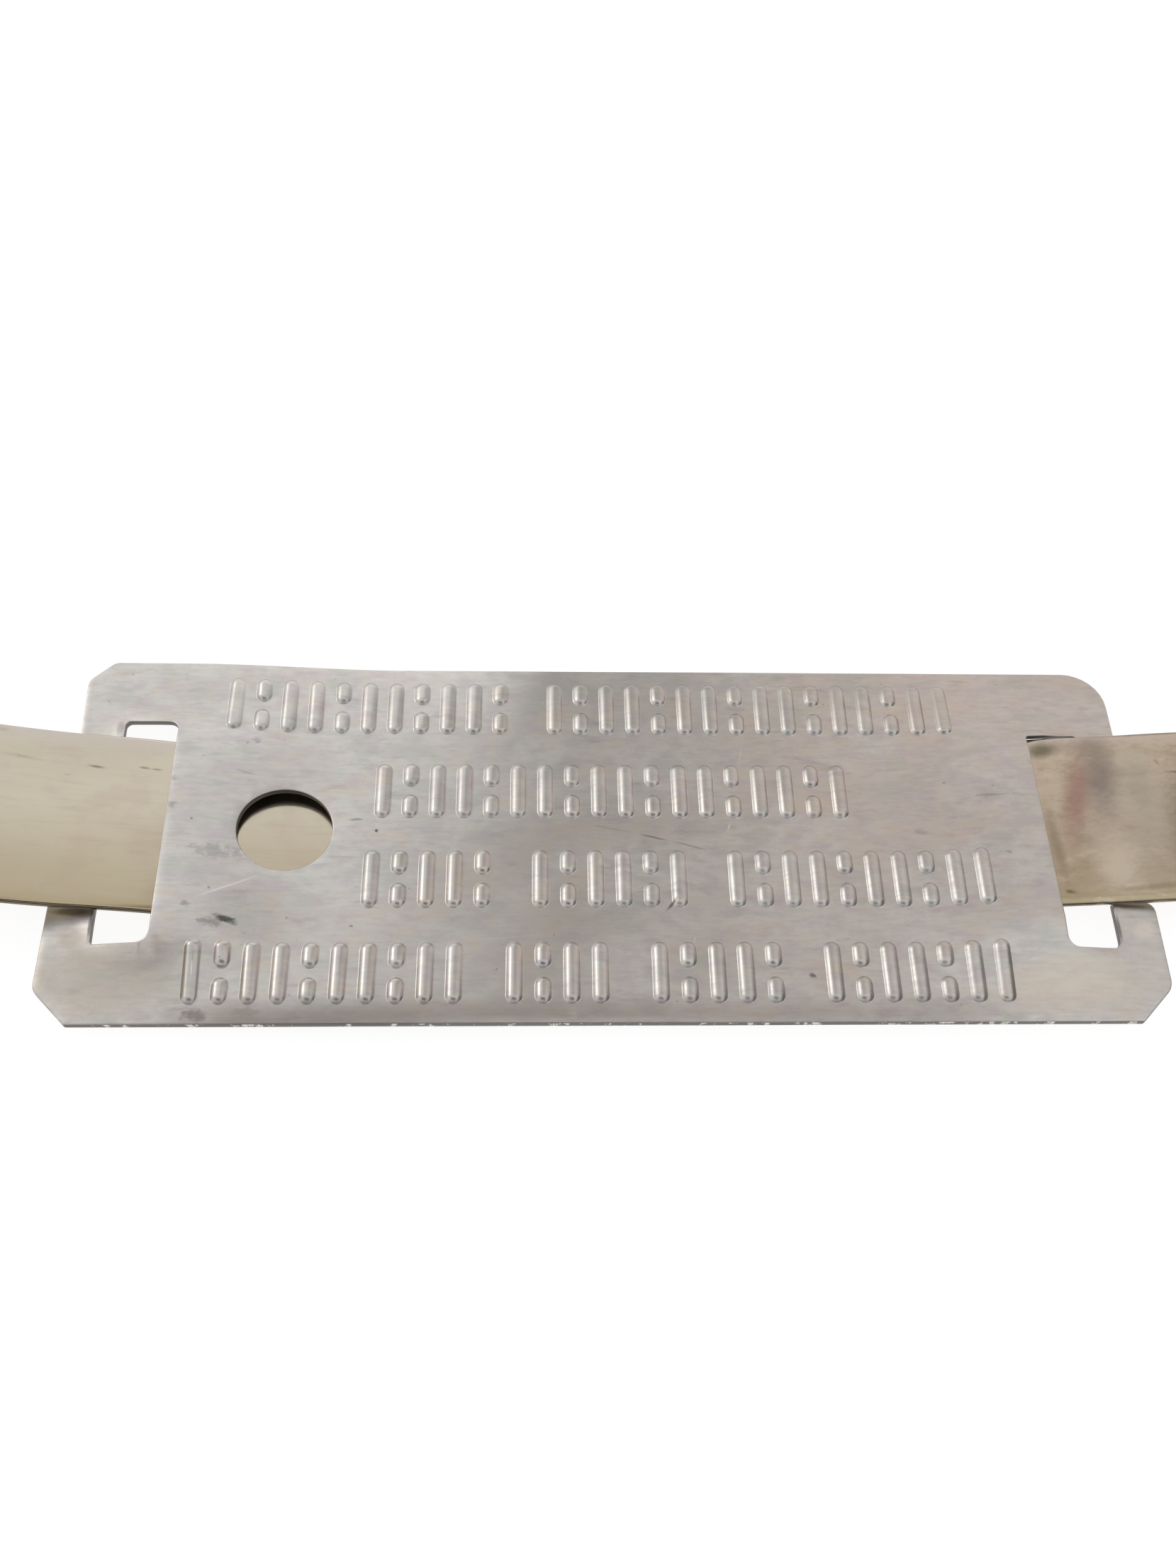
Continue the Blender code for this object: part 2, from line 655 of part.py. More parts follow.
def make_tension_screw():
    """The hexagon-headed screw with a driver slot and a turned tip."""
    top = SCREW_HEAD_BASE + HEX_HEAD_THICK
    middle = SCREW_HEAD_BASE + HEX_HEAD_THICK / 4
    shoulder = PAD_TOP + CLEAR
    tip = PAD_TOP - SCREW_TIP_LENGTH
    lead = (SCREW_RADIUS - SCREW_TIP_RADIUS) / 2
    profile = [(0, middle), (SCREW_RADIUS, middle), (SCREW_RADIUS, shoulder + lead),
               (SCREW_RADIUS - lead, shoulder), (SCREW_TIP_RADIUS, shoulder),
               (SCREW_TIP_RADIUS, tip), (0, tip)]
    screw = hex_block("tension_screw", SCREW_HEAD_BASE, top)
    join(screw, take_mesh(turned("screw_stem", profile)), "stem")
    half = SLOT_CUT_WIDTH / 2
    cut(screw, block((-HEX_FLATS, -half, top - SLOT_CUT_DEPTH), (HEX_FLATS, half, top + HEX_FLATS)),
        "driver_slot")
    return finish_part(screw, TURNED, (SCREW_X, 0, 0))


def make_lock_nut():
    """The hexagon nut that locks the tension screw against the body."""
    nut = hex_block("lock_nut", NUT_BASE, NUT_BASE + NUT_THICK, chamfer_base=True)
    cut(nut, drum(SCREW_HOLE, 0, NUT_BASE + 2 * NUT_THICK, 40), "bore")
    return finish_part(nut, TURNED, (SCREW_X, 0, 0))


def make_split_washer(name, bore, base, x):
    """A split spring washer, shown closed up flat under its nut or head."""
    outer = bore + WASHER_WALL
    ring = add_object(name, mesh_from(name, drum(outer, base, base + WASHER_THICK, 40)))
    cut(ring, drum(bore, 0, base + 2 * WASHER_THICK, 40), "bore")
    gap = block((0, -WASHER_SPLIT / 2, base - WASHER_THICK),
                (2 * outer, WASHER_SPLIT / 2, base + 2 * WASHER_THICK))
    bmesh.ops.rotate(gap, cent=(bore, 0, base + WASHER_THICK / 2), verts=gap.verts,
                     matrix=Matrix.Rotation(WASHER_SPLIT_LEAN, 3, "X"))
    cut(ring, gap, "split")
    return finish_part(ring, SPRING, (x, 0, 0))


def make_pressure_pad():
    """The pad that the screw's tip presses on the pipe, lipped at both ends."""
    half = PAD_LENGTH / 2
    wide = BODY_INNER / 2 - STRAP_SIDE_PLAY
    solid = block((-half, -wide, PAD_BASE), (half, wide, PAD_TOP))
    pad = add_object("pressure_pad", mesh_from("pressure_pad", solid))
    inner = half - PAD_LIP_THICK
    cut(pad, block((-inner, -2 * wide, PAD_BASE - PAD_THICK), (inner, 2 * wide, PAD_BASE + PAD_LIP)),
        "relief")
    socket = drum(SCREW_TIP_RADIUS + CLEAR, PAD_TOP - SCREW_TIP_LENGTH - CLEAR, PAD_TOP + PAD_THICK, 32)
    cut(pad, socket, "socket")
    soften(pad, PAD_EDGE, 1, 60)
    return finish_part(pad, PRESSED, (SCREW_X, 0, 0))


def make_terminal_plate():
    """The saddle plate that clamps the conductor, with lips down the tab's sides."""
    half = TERMINAL_PLATE_LENGTH / 2
    inner = TAB_WIDTH / 2 + CLEAR
    outer = inner + TERMINAL_PLATE_THICK
    base = BODY_HEIGHT + CLEAR
    top = base + TERMINAL_PLATE_THICK
    low = base - TERMINAL_LIP
    bend = TERMINAL_PLATE_THICK / 2
    section = rounded_outline((
        (-outer, low, 0), (-inner, low, 0), (-inner, base, 0), (inner, base, 0),
        (inner, low, 0), (outer, low, 0), (outer, top, bend), (-outer, top, bend)), 3)
    bm = plate_from_outlines("terminal_plate", [section], 2 * half)
    stand = Matrix(((0, 0, 1), (1, 0, 0), (0, 1, 0)))
    bmesh.ops.transform(bm, matrix=stand.to_4x4(), verts=bm.verts)
    plate = add_object("terminal_plate", mesh_from("terminal_plate", bm))
    cut(plate, drum(TERMINAL_RADIUS + CLEAR, 0, 2 * top, 32), "hole")
    return finish_part(plate, PRESSED, (TERMINAL_X, 0, 0))


def make_terminal_screw():
    """The cheese-headed terminal screw with its driver slot."""
    washer = BODY_HEIGHT + CLEAR + TERMINAL_PLATE_THICK + CLEAR
    head = washer + WASHER_THICK + CLEAR
    top = head + TERMINAL_HEAD_THICK
    tip = BODY_HEIGHT - BODY_TOP - TERMINAL_BELOW_TAB
    edge = TERMINAL_RADIUS * 0.2
    profile = [(0, top), (TERMINAL_HEAD_RADIUS - edge, top), (TERMINAL_HEAD_RADIUS, top - edge),
               (TERMINAL_HEAD_RADIUS, head), (TERMINAL_RADIUS, head), (TERMINAL_RADIUS, tip + edge),
               (TERMINAL_RADIUS - edge, tip), (0, tip)]
    screw = turned("terminal_screw", profile, 40)
    half = SLOT_CUT_WIDTH / 2
    reach = 2 * TERMINAL_HEAD_RADIUS
    cut(screw, block((-reach, -half, top - SLOT_CUT_DEPTH), (reach, half, top + reach)), "driver_slot")
    return finish_part(screw, TURNED, (TERMINAL_X, 0, 0))


def main():
    """Make every piece of the clamp."""
    make_strap()
    make_strap_rivet()
    make_label()
    make_clamp_body()
    make_pin("anchor_pin", PIN_X)
    make_pin("tail_pin", TAIL_PIN_X)
    make_tension_screw()
    make_lock_nut()
    make_split_washer("lock_washer", SCREW_HOLE, WASHER_BASE, SCREW_X)
    make_pressure_pad()
    make_terminal_plate()
    terminal_washer = BODY_HEIGHT + CLEAR + TERMINAL_PLATE_THICK + CLEAR
    make_split_washer("terminal_washer", TERMINAL_RADIUS + CLEAR, terminal_washer, TERMINAL_X)
    make_terminal_screw()


main()
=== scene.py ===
"""Looks of the earthing pipe clamp: the stamped aluminium label, the tinned brass strap
it is woven on, and the brass clamp head at the strap's end.
"""
import math

import bmesh
import bpy
from mathutils import Matrix, Vector, geometry, noise


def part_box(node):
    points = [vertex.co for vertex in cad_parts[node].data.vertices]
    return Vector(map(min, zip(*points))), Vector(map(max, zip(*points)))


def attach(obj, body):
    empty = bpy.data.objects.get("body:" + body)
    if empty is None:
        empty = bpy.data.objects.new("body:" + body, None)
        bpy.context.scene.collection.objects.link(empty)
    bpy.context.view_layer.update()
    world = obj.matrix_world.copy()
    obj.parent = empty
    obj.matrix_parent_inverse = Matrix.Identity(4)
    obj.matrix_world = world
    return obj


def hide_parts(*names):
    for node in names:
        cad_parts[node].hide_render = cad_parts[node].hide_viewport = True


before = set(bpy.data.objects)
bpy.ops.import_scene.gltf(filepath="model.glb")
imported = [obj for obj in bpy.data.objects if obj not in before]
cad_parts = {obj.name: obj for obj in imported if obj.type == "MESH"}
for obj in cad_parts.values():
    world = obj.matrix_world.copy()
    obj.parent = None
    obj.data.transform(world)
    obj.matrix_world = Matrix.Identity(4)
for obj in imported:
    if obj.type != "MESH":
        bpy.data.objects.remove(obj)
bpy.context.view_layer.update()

MM = 0.001

# Label, in millimetres in its own frame, whose origin is under its middle. Front is -Y, the
# head's end is -X, and the slots are a little out of square, as the tool left them.
LABEL_LENGTH = 87.0
LABEL_DEPTH = 32.2
LABEL_THICK = 0.6
LABEL_TOP = 1.95
LABEL_CHAMFER = 2.8
LABEL_ROUND = 3.4
LABEL_YAW = math.radians(-0.52)
LABEL_SHIFT_Y = -0.95
CLOSED_SLOT_WIDTH = 4.5
OPEN_SLOT_WIDTH = 4.35
CLOSED_SLOT_FRONT = -9.75
OPEN_SLOT_FRONT = -10.02
CLOSED_SLOT_BACK = 10.3
OPEN_SLOT_BACK = 8.93
OPEN_SLOT_SPLAY = 0.6
CLOSED_SLOT_SKEW = 0.35
OPEN_SLOT_SKEW = 0.3
REAR_CHAMFER = (2.05, 1.8)
REAR_CHAMFER_ROUND = 1.0
REAR_TRIM = 0.17
END_LEAN = 0.12
TIP_ROUND = 0.3
HEAD_TIP_ROUND = 1.3
TAIL_TIP_ROUND = 1.6
SLOT_ROUND = 0.9
NICK_ROUND = SLOT_ROUND / 3
OPEN_FRONT_ROUND = NICK_ROUND * 2
CLOSED_BACK_ROUND = NICK_ROUND * 1.5
CLOSED_FRONT_ROUND = SLOT_ROUND * 1.2
CLOSED_LUG = 3.85
OPEN_LUG = 3.4
MOUTH_FRONT = -6.05
MOUTH_BACK = 6.3
HOLE_RADIUS = 3.76
HOLE_SQUASH = 0.975
HOLE_Y = 0.3
HOLE_FROM_SLOT = 9.35
CLOSED_OUT = -LABEL_LENGTH / 2 + CLOSED_LUG
CLOSED_IN = CLOSED_OUT + CLOSED_SLOT_WIDTH
OPEN_OUT = LABEL_LENGTH / 2 - OPEN_LUG
OPEN_IN = OPEN_OUT - OPEN_SLOT_WIDTH
HOLE_X = CLOSED_IN + HOLE_FROM_SLOT

# How the weave bends the label, and how far from flat the sheet is
CLOSED_LIFT = 1.2
OPEN_LIFT = 1.12
CLOSED_FALL = 7.5
LUG_LIFT = 0.08
CORNER_CURL = 0.9
BEND_SPREAD = 12.0
CURL_SPREAD = BEND_SPREAD * 1.5
SHEET_WAVE = 0.035
WAVES_PER_MM = (0.11, 0.16)
WAVE_SLICE = 3.0
GRID_STEP = 1.4
MITRE_LIMIT = 0.5
WELD = 0.00001

# Rim left by the shearing: rolled over above, nearly square below
RIM_ROLL = 0.10
RIM_STEPS = 3
LOWER_RIM = 0.05

# Raised beads; each row has its start, from the closed slot, and its word lengths
BEAD_WIDTH = 1.0
BEAD_REACH = 0.66
BEAD_LENGTH = 4.8
BEAD_HEIGHT = 0.32
BEAD_FULLNESS = 2.4
BEAD_CONTOURS = (0.2, 0.42, 0.62, 0.78, 0.90, 1.0, 1.06)
BEAD_END_STEPS = 8
BEAD_SPLIT_EVERY = 3
HOLLOW_SHARE = 0.8
BEAD_PITCH = 2.2
BEAD_ROW_PITCH = 8.0
BEAD_WORD_GAP = 3.6
BEAD_SPLIT = 1.0
BEAD_MARGIN = 4.1
BEAD_ROWS = (
    (4.4, (11, 16)),
    (17.0, (18,)),
    (16.4, (5, 6, 11)),
    (3.4, (10, 4, 5, 8)),
)

# Strap, in millimetres. A bend is a height over the lug, or over the strap's lowest run, and
# the slope there.
STRAP_WIDTH = 15.5
STRAP_THICK = 0.6
STRAP_EDGE = 0.24
STRAP_HOLD = 0.35
STRAP_TAIL = 56.0
STRAP_TAIL_ARCH = 3.0
TAIL_CREST = STRAP_TAIL / 5
TAIL_LANDING = STRAP_TAIL * 0.6
STRAP_TAIL_ROUND = 2.0
STRAP_HEAD_RUN = 39.35
STRAP_HEAD_RISE = 7.0
STRAP_FOLD_RUN = 16.0
WEAVE_RUN = 5.5
HEAD_BEND = (2.35, -0.27)
LUG_BEND_RUN = 3.0
LUG_BEND = (0.5, -0.19)
LUG_SLOPE = -0.18
DIP_SLOPE = -0.25
HOLE_DIP = (0.12, -0.085)
LUG_CLEAR = 0.72
TAIL_CLEAR = 0.06
SLOT_CLEAR = 0.12
PIN_RADIUS = 2.0
CLEAR = 0.3
PIN_X = CLOSED_OUT - STRAP_HEAD_RUN - PIN_RADIUS - CLEAR - STRAP_THICK
PIN_Z = STRAP_HEAD_RISE + STRAP_THICK + CLEAR + PIN_RADIUS
LOOP_EXIT = 2.4

# Threads: core and crest radius, pitch, start above the screw's tip, end below its top
TENSION_THREAD = (2.9, 3.12, 1.0, 2.2, 4.2)
TERMINAL_THREAD = (2.35, 2.56, 0.8, 0.5, 3.8)
THREAD_SINK = 0.03
THREAD_FLANK = (0.25, 0.9)
THREAD_STEPS = 36
ROWS_PER_TURN = 8

# Machined edges of the head's pieces
SOFT_EDGE = 0.12
SHARP_ANGLE = math.radians(35)

# Painted shade along the label's front edge: how it sets in across the label, how
# it sets in past the head's end, where it weakens along the label, and how it ends
FRONT_SHADE_ACROSS = (-13.4, -15.6)
FRONT_SHADE_START = (-37.0, -27.0)
FRONT_SHADE_WEAKENS = (-8.0, -20.0, 0.38, 0.66)
FRONT_SHADE_END = (34.0, 24.0)

# Where the painted reflections on the strap fade in, along it
PAINTED_REFLECTION_RAMP = (33.0, 37.0)

# Handling marks on the label, most darker than the sheet, a few soft ones lighter or warmer, and
# painted shade and light by the slots and on their lugs: from, to, width, how broken, strength and colour
LABEL_MARKS_AND_PAINTED_SHADING = (
    ((-30.7, -7.5), (-28.4, -8.1), 0.85, 1.5, 0.90, "454A45"),
    ((-31.8, -7.9), (-29.6, -8.2), 0.9, 2.4, 0.50, "6E6B68"),
    ((-33.2, -6.6), (-32.2, -6.8), 0.7, 2.0, 0.50, "77736F"),
    ((-33.2, 0.8), (-32.9, 0.8), 0.3, 1.0, 0.60, "5E5B58"),
    ((-35.1, 2.1), (-34.4, 1.8), 0.7, 2.2, 0.45, "7F7B78"),
    ((-35.4, 4.6), (-34.5, 4.3), 0.7, 2.4, 0.40, "858180"),
    ((-33.6, -1.7), (-28.6, -2.2), 1.5, 2.6, 0.45, "8B8786"),
    ((-30.4, 5.6), (-28.3, 5.1), 0.25, 0.6, 0.40, "86827E"),
    ((-21.0, 1.3), (-19.5, 1.3), 0.35, 1.2, 0.55, "77736F"),
    ((-18.6, 0.5), (-18.4, 0.1), 0.4, 0.8, 0.85, "4A4744"),
    ((-22.7, -2.1), (-19.3, -2.1), 0.25, 1.2, 0.30, "8A8683"),
    ((-32.4, -15.2), (-30.0, -15.6), 1.2, 1.8, 0.60, "6F6763"),
    ((-28.9, -15.0), (-26.0, -15.2), 1.0, 2.0, 0.35, "7A726D"),
    ((-29.3, 8.7), (-28.2, 8.4), 0.8, 2.2, 0.45, "85817D"),
    ((-31.2, -5.1), (-30.9, -5.3), 0.3, 0.8, 0.50, "6B6865"),
    ((-25.1, -7.4), (-24.9, -7.5), 0.3, 0.8, 0.50, "6B6865"),
    ((-20.2, -8.0), (-19.8, -8.2), 0.3, 0.8, 0.55, "5F5C59"),
    ((-1.6, 0.9), (2.7, 0.05), 0.22, 0.5, 0.30, "827D78"),
    ((2.3, 0.1), (5.2, -0.65), 0.24, 0.6, 0.60, "6A6560"),
    ((4.8, -0.5), (8.4, -1.55), 0.22, 0.6, 0.42, "77726C"),
    ((4.45, -6.9), (5.5, -5.6), 0.34, 0.6, 0.75, "55514D"),
    ((30.1, 3.35), (33.1, 3.35), 0.3, 0.8, 0.45, "847C79"),
    ((24.9, 0.3), (26.3, 0.1), 0.7, 2.2, 0.35, "89837F"),
    ((31.9, -1.9), (32.6, -2.1), 0.4, 1.4, 0.40, "827B77"),
    ((15.2, -12.1), (15.9, -12.5), 0.6, 1.2, 0.75, "5A5753"),
    # Painted shade along the slots' rolled edges, the strap's painted shadow on the closed slot's lug, and
    # painted shade over that lug and the slot's corners
    ((40.18, -9.9), (40.18, -6.9), 0.50, 0.3, 0.75, "6A6562"),
    ((-39.82, -9.7), (-39.8, -6.8), 0.46, 0.5, 0.80, "6A6460"),
    ((-43.6, -6.9), (-39.2, -7.0), 0.90, 0.2, 0.66, "5A5149"),
    ((-41.8, -7.2), (-39.2, -7.3), 0.70, 0.3, 0.36, "5A5149"),
    ((-42.6, -8.9), (-39.6, -9.3), 2.60, 0.4, 0.60, "A0958A"),
    ((-40.05, 10.7), (-40.1, 8.6), 0.80, 0.3, 0.55, "8A8480"),
    ((-35.1, 8.8), (-35.1, -7.2), 0.30, 0.4, 0.45, "8E8A88"),
    ((-41.8, -10.5), (-37.8, -10.8), 2.00, 0.4, 0.36, "A39A8E"),
    # Warmer tone patches at the front corners
    ((-46.5, -12.3), (-30.5, -12.9), 9.00, 0.4, 0.52, "A4998B"),
    ((28.0, -13.6), (43.8, -12.2), 6.60, 0.4, 0.52, "D0C5B5"),
    # Painted light on the open slot's lug, just in front of the strap
    ((40.8, -8.4), (43.6, -8.6), 2.20, 0.3, 0.45, "E2DACD"),
)

# Fresh scratches on the label: from, to, width and strength
LIGHT_SCRATCHES = (
    ((-32.7, -6.4), (-26.6, -3.5), 0.26, 0.62),
    ((-27.2, -3.7), (-22.6, -2.5), 0.20, 0.40),
    ((9.75, 0.2), (10.1, 1.2), 0.22, 0.75),
    ((6.5, -9.7), (6.7, -8.9), 0.20, 0.55),
    ((11.0, 6.2), (11.6, 8.6), 0.16, 0.45),
    ((-12.0, -9.5), (-4.0, -8.7), 0.14, 0.30),
)

# Drag marks and stains on the strap, with painted reflections and painted shade on its part right of the
# label, as on the label but in the strap's frame
STRAP_MARKS_AND_PAINTED_SHADING = (
    ((-41.9, 4.75), (-40.1, 4.55), 0.36, 0.5, 0.75, "756C5A"),
    ((-37.95, 4.95), (-36.7, 4.85), 0.34, 0.5, 0.66, "7C7361"),
    ((-37.0, 4.85), (-35.8, 4.85), 0.30, 0.5, 0.62, "7C7361"),
    ((-50.6, 6.4), (-48.2, 6.2), 0.40, 1.0, 0.50, "857A68"),
    ((-50.5, 7.0), (-49.2, 6.9), 0.30, 1.0, 0.40, "857A68"),
    ((-48.6, 5.1), (-44.3, 4.8), 0.50, 2.0, 0.34, "958B79"),
    ((-49.0, 7.3), (-47.6, 7.2), 0.50, 2.0, 0.35, "958B79"),
    ((-49.6, -2.6), (-46.8, -2.9), 0.90, 2.2, 0.30, "A08E7C"),
    ((-43.4, 3.7), (-42.6, 3.7), 0.30, 1.4, 0.30, "958B79"),
    # Painted reflections: broad darker, lighter and reddish blotches right of the label
    ((43.5, 9.5), (43.5, -9.5), 16.00, 0.3, 0.35, "BBBAB3"),
    ((34.6, 6.2), (39.0, 6.9), 2.20, 0.4, 0.80, "64624F"),
    ((36.5, 6.8), (44.0, 6.4), 2.80, 0.6, 0.45, "8A7C6E"),
    ((44.2, 7.5), (44.0, -1.5), 4.20, 0.6, 0.40, "98988A"),
    ((41.5, 9.2), (40.7, -1.6), 4.80, 0.5, 0.68, "7E7674"),
    ((40.2, 7.6), (37.4, -3.8), 3.30, 0.5, 0.66, "9A736D"),
    ((38.4, -3.6), (43.6, -5.0), 7.60, 0.5, 0.95, "D1CAB8"),
    ((36.1, 3.0), (36.7, -7.5), 1.50, 0.5, 0.50, "857B69"),
    ((38.5, -6.7), (48.5, -6.4), 0.80, 0.5, 0.40, "7E735F"),
    ((47.6, 8.5), (47.5, -11.5), 6.20, 0.6, 0.60, "857866"),
    # Small dark spots
    ((36.1, -6.5), (37.4, -6.8), 0.60, 1.0, 0.70, "5F5842"),
    ((45.7, 5.3), (46.2, 4.4), 0.50, 1.2, 0.40, "8A7A66"),
    ((46.2, 3.9), (48.6, 3.7), 0.32, 0.8, 0.70, "736850"),
    # Painted shade along the strap's rear rolled edge, right of the label
    ((38.6, 7.62), (54.0, 7.62), 0.46, 0.3, 0.62, "6E6452"),
)

# Camera, as it stood over the label's top face
CAMERA_PLACE = (-6.20, -55.68, 103.15)
CAMERA_AIM = (-1.45, 4.69, 0.0)
CAMERA_ROLL = math.radians(4.06)
CAMERA_LENS = 33.39
CAMERA_CLIP = 0.005
LONG_SIDE_SENSOR = 36.0

# Floor, room and lamp, in metres and watts
FLOOR_REACH = 4.0
FLOOR_DROP = 0.00005
FLOOR_GLOW = 0.86
ROOM_LEVEL = 0.62
LAMP_PLACE = (-0.40, 0.22, 0.34)
LAMP_SIZE = (0.16, 0.12)
LAMP_POWER = 0.3


def srgb(code):
    """A linear colour from an sRGB hex code."""
    parts = [int(code[i:i + 2], 16) / 255 for i in (0, 2, 4)]
    linear = [p / 12.92 if p <= 0.04045 else ((p + 0.055) / 1.055) ** 2.4 for p in parts]
    return (*linear, 1.0)


def add(tree, kind, inputs=(), **settings):
    """Add a node with its settings, and with its inputs linked or set."""
    made = tree.nodes.new(kind)
    for name, value in settings.items():
        setattr(made, name, value)
    for name, value in dict(inputs).items():
        if isinstance(value, bpy.types.NodeSocket):
            tree.links.new(value, made.inputs[name])
        else:
            made.inputs[name].default_value = value
    return made


def new_material(name):
    """A material with an empty Principled shader; gives the material, tree and shader."""
    finish = bpy.data.materials.new(name)
    finish.use_nodes = True
    tree = finish.node_tree
    return finish, tree, tree.nodes["Principled BSDF"]


def millimetres(tree, scale=(1, 1, 1), turn=0.0, shift=(0, 0, 0)):
    """The piece's own coordinates in millimetres, stretched, turned about Z and shifted."""
    place = add(tree, "ShaderNodeTexCoord").outputs["Object"]
    local = add(tree, "ShaderNodeMapping", {"Vector": place, "Scale": (1 / MM, 1 / MM, 1 / MM)})
    moved = add(tree, "ShaderNodeMapping", {"Vector": local.outputs[0], "Location": shift,
                                            "Rotation": (0, 0, turn)}, vector_type="POINT")
    return add(tree, "ShaderNodeMapping", {"Vector": moved.outputs[0], "Scale": scale}).outputs[0]


def grain(tree, per_mm, detail=3.0, rough=0.55):
    """Noise whose size along each axis is given as repeats per millimetre."""
    return add(tree, "ShaderNodeTexNoise", {"Vector": millimetres(tree, per_mm), "Scale": 1.0,
                                            "Detail": detail, "Roughness": rough}).outputs["Fac"]


def between(tree, value, low, high, to_low=0.0, to_high=1.0, smooth=True):
    """A value carried from one range to another and held at its ends."""
    kind = "SMOOTHSTEP" if smooth else "LINEAR"
    return add(tree, "ShaderNodeMapRange", {
        "Value": value, "From Min": low, "From Max": high, "To Min": to_low, "To Max": to_high},
        interpolation_type=kind, clamp=True).outputs["Result"]


def calculate(tree, operation, first, second):
    """One sum, product or other operation on two values."""
    return add(tree, "ShaderNodeMath", {0: first, 1: second}, operation=operation).outputs[0]


def blend_colour(tree, share, first, second):
    """Mix two colours by a share."""
    mixer = add(tree, "ShaderNodeMix", data_type="RGBA")
    for index, value in ((0, share), (6, first), (7, second)):
        if isinstance(value, bpy.types.NodeSocket):
            tree.links.new(value, mixer.inputs[index])
        else:
            mixer.inputs[index].default_value = value
    return mixer.outputs[2]


def streak(tree, start, end, width, ragged=0.0, soft=0.7):
    """A mark between two points of the piece's own frame, in millimetres: 1 on it, 0 off it.
    A ragged mark has a broken outline, and a soft one fades slowly."""
    run = Vector(end) - Vector(start)
    middle = (Vector(end) + Vector(start)) / 2
    turn = math.atan2(run.y, run.x)
    back = Matrix.Rotation(-turn, 2) @ middle
    place = millimetres(tree, (2 / run.length, 2 / width, 0), -turn, (-back.x, -back.y, 0))
    if ragged:
        wander = add(tree, "ShaderNodeTexNoise", {"Vector": millimetres(tree, (1.6, 2.6, 1.0)),
                                                  "Scale": 1.0, "Detail": 3.0, "Roughness": 0.65})
        away = add(tree, "ShaderNodeVectorMath", {0: wander.outputs["Color"], 1: (0.5, 0.5, 0.5)},
                   operation="SUBTRACT")
        place = add(tree, "ShaderNodeVectorMath", {0: away.outputs[0], 1: (ragged, ragged, 0.0), 2: place},
                    operation="MULTIPLY_ADD").outputs[0]
    share = add(tree, "ShaderNodeTexGradient", {"Vector": place}, gradient_type="SPHERICAL").outputs["Fac"]
    return between(tree, share, 0.0, soft)


def bump(tree, height, depth_mm, strength=1.0):
    """A bump normal from a height between 0 and 1 that stands for a depth in millimetres."""
    return add(tree, "ShaderNodeBump", {"Height": height, "Strength": strength,
                                        "Distance": depth_mm * MM}).outputs["Normal"]


def mill_aluminium():
    """Mill-finish aluminium sheet, rolled along the label: faint lengthwise lines, soft patches
    that drift between beige, lilac and green grey, handling scratches, dirt in small pits, and painted
    shade along the front edge, by the slots and on their lugs, with painted light on the open slot's lug."""
    finish, tree, shader = new_material("mill_finish_aluminium")
    lines = grain(tree, (0.55, 3.2, 1.0), 3.0, 0.65)
    clouds = grain(tree, (0.10, 0.16, 0.1), 3.0)
    mottle = grain(tree, (0.55, 0.95, 0.5), 4.0, 0.62)
    tint = grain(tree, (0.26, 0.46, 0.3), 3.0, 0.6)
    smears = grain(tree, (0.30, 1.10, 0.3), 4.0, 0.65)
    tone = blend_colour(tree, between(tree, clouds, 0.35, 0.65), srgb("C1BDB7"), srgb("C8C6C2"))
    tone = blend_colour(tree, between(tree, tint, 0.50, 0.66, 0.0, 0.60), tone, srgb("B3B6AE"))
    tone = blend_colour(tree, between(tree, tint, 0.48, 0.34, 0.0, 0.50), tone, srgb("C6BBAE"))
    tone = blend_colour(tree, between(tree, mottle, 0.44, 0.64, 0.0, 0.55), tone, srgb("BBB2B7"))
    tone = blend_colour(tree, between(tree, smears, 0.56, 0.76, 0.0, 0.42), tone, srgb("9B9595"))
    tone = blend_colour(tree, between(tree, lines, 0.45, 0.70, 0.0, 0.16), tone, srgb("98928C"))
    tone = blend_colour(tree, between(tree, lines, 0.45, 0.28, 0.0, 0.20), tone, srgb("D6D2CC"))
    # Dirt caught in pits: sparse flecks a few tenths of a millimetre across
    flecks = between(tree, grain(tree, (1.3, 2.0, 1.0), 2.0), 0.72, 0.80, 0.0, 0.55)
    tone = blend_colour(tree, flecks, tone, srgb("6B6864"))
    # Painted shade along the front edge, darkest towards the head
    spot = add(tree, "ShaderNodeSeparateXYZ", {0: millimetres(tree)})
    front_edge_shade = between(tree, spot.outputs["Y"], *FRONT_SHADE_ACROSS)
    for share in (FRONT_SHADE_START, FRONT_SHADE_WEAKENS, FRONT_SHADE_END):
        front_edge_shade = calculate(tree, "MULTIPLY", front_edge_shade, between(tree, spot.outputs["X"], *share))
    tone = blend_colour(tree, front_edge_shade, tone, srgb("7B7069"))
    for start, end, width, ragged, share, code in LABEL_MARKS_AND_PAINTED_SHADING:
        mark = calculate(tree, "MULTIPLY", streak(tree, start, end, width, ragged), share)
        tone = blend_colour(tree, mark, tone, srgb(code))
    for start, end, width, share in LIGHT_SCRATCHES:
        mark = calculate(tree, "MULTIPLY", streak(tree, start, end, width), share)
        tone = blend_colour(tree, mark, tone, srgb("DCD8D1"))
    tree.links.new(tone, shader.inputs["Base Color"])
    shader.inputs["Metallic"].default_value = 1.0
    rough = calculate(tree, "ADD", between(tree, lines, 0.2, 0.8, 0.29, 0.39, False),
                      between(tree, clouds, 0.3, 0.7, -0.03, 0.05))
    tree.links.new(rough, shader.inputs["Roughness"])
    relief = calculate(tree, "ADD", calculate(tree, "MULTIPLY", lines, 0.35),
                       calculate(tree, "MULTIPLY", mottle, 0.8))
    tree.links.new(bump(tree, relief, 0.014, 0.6), shader.inputs["Normal"])
    return finish


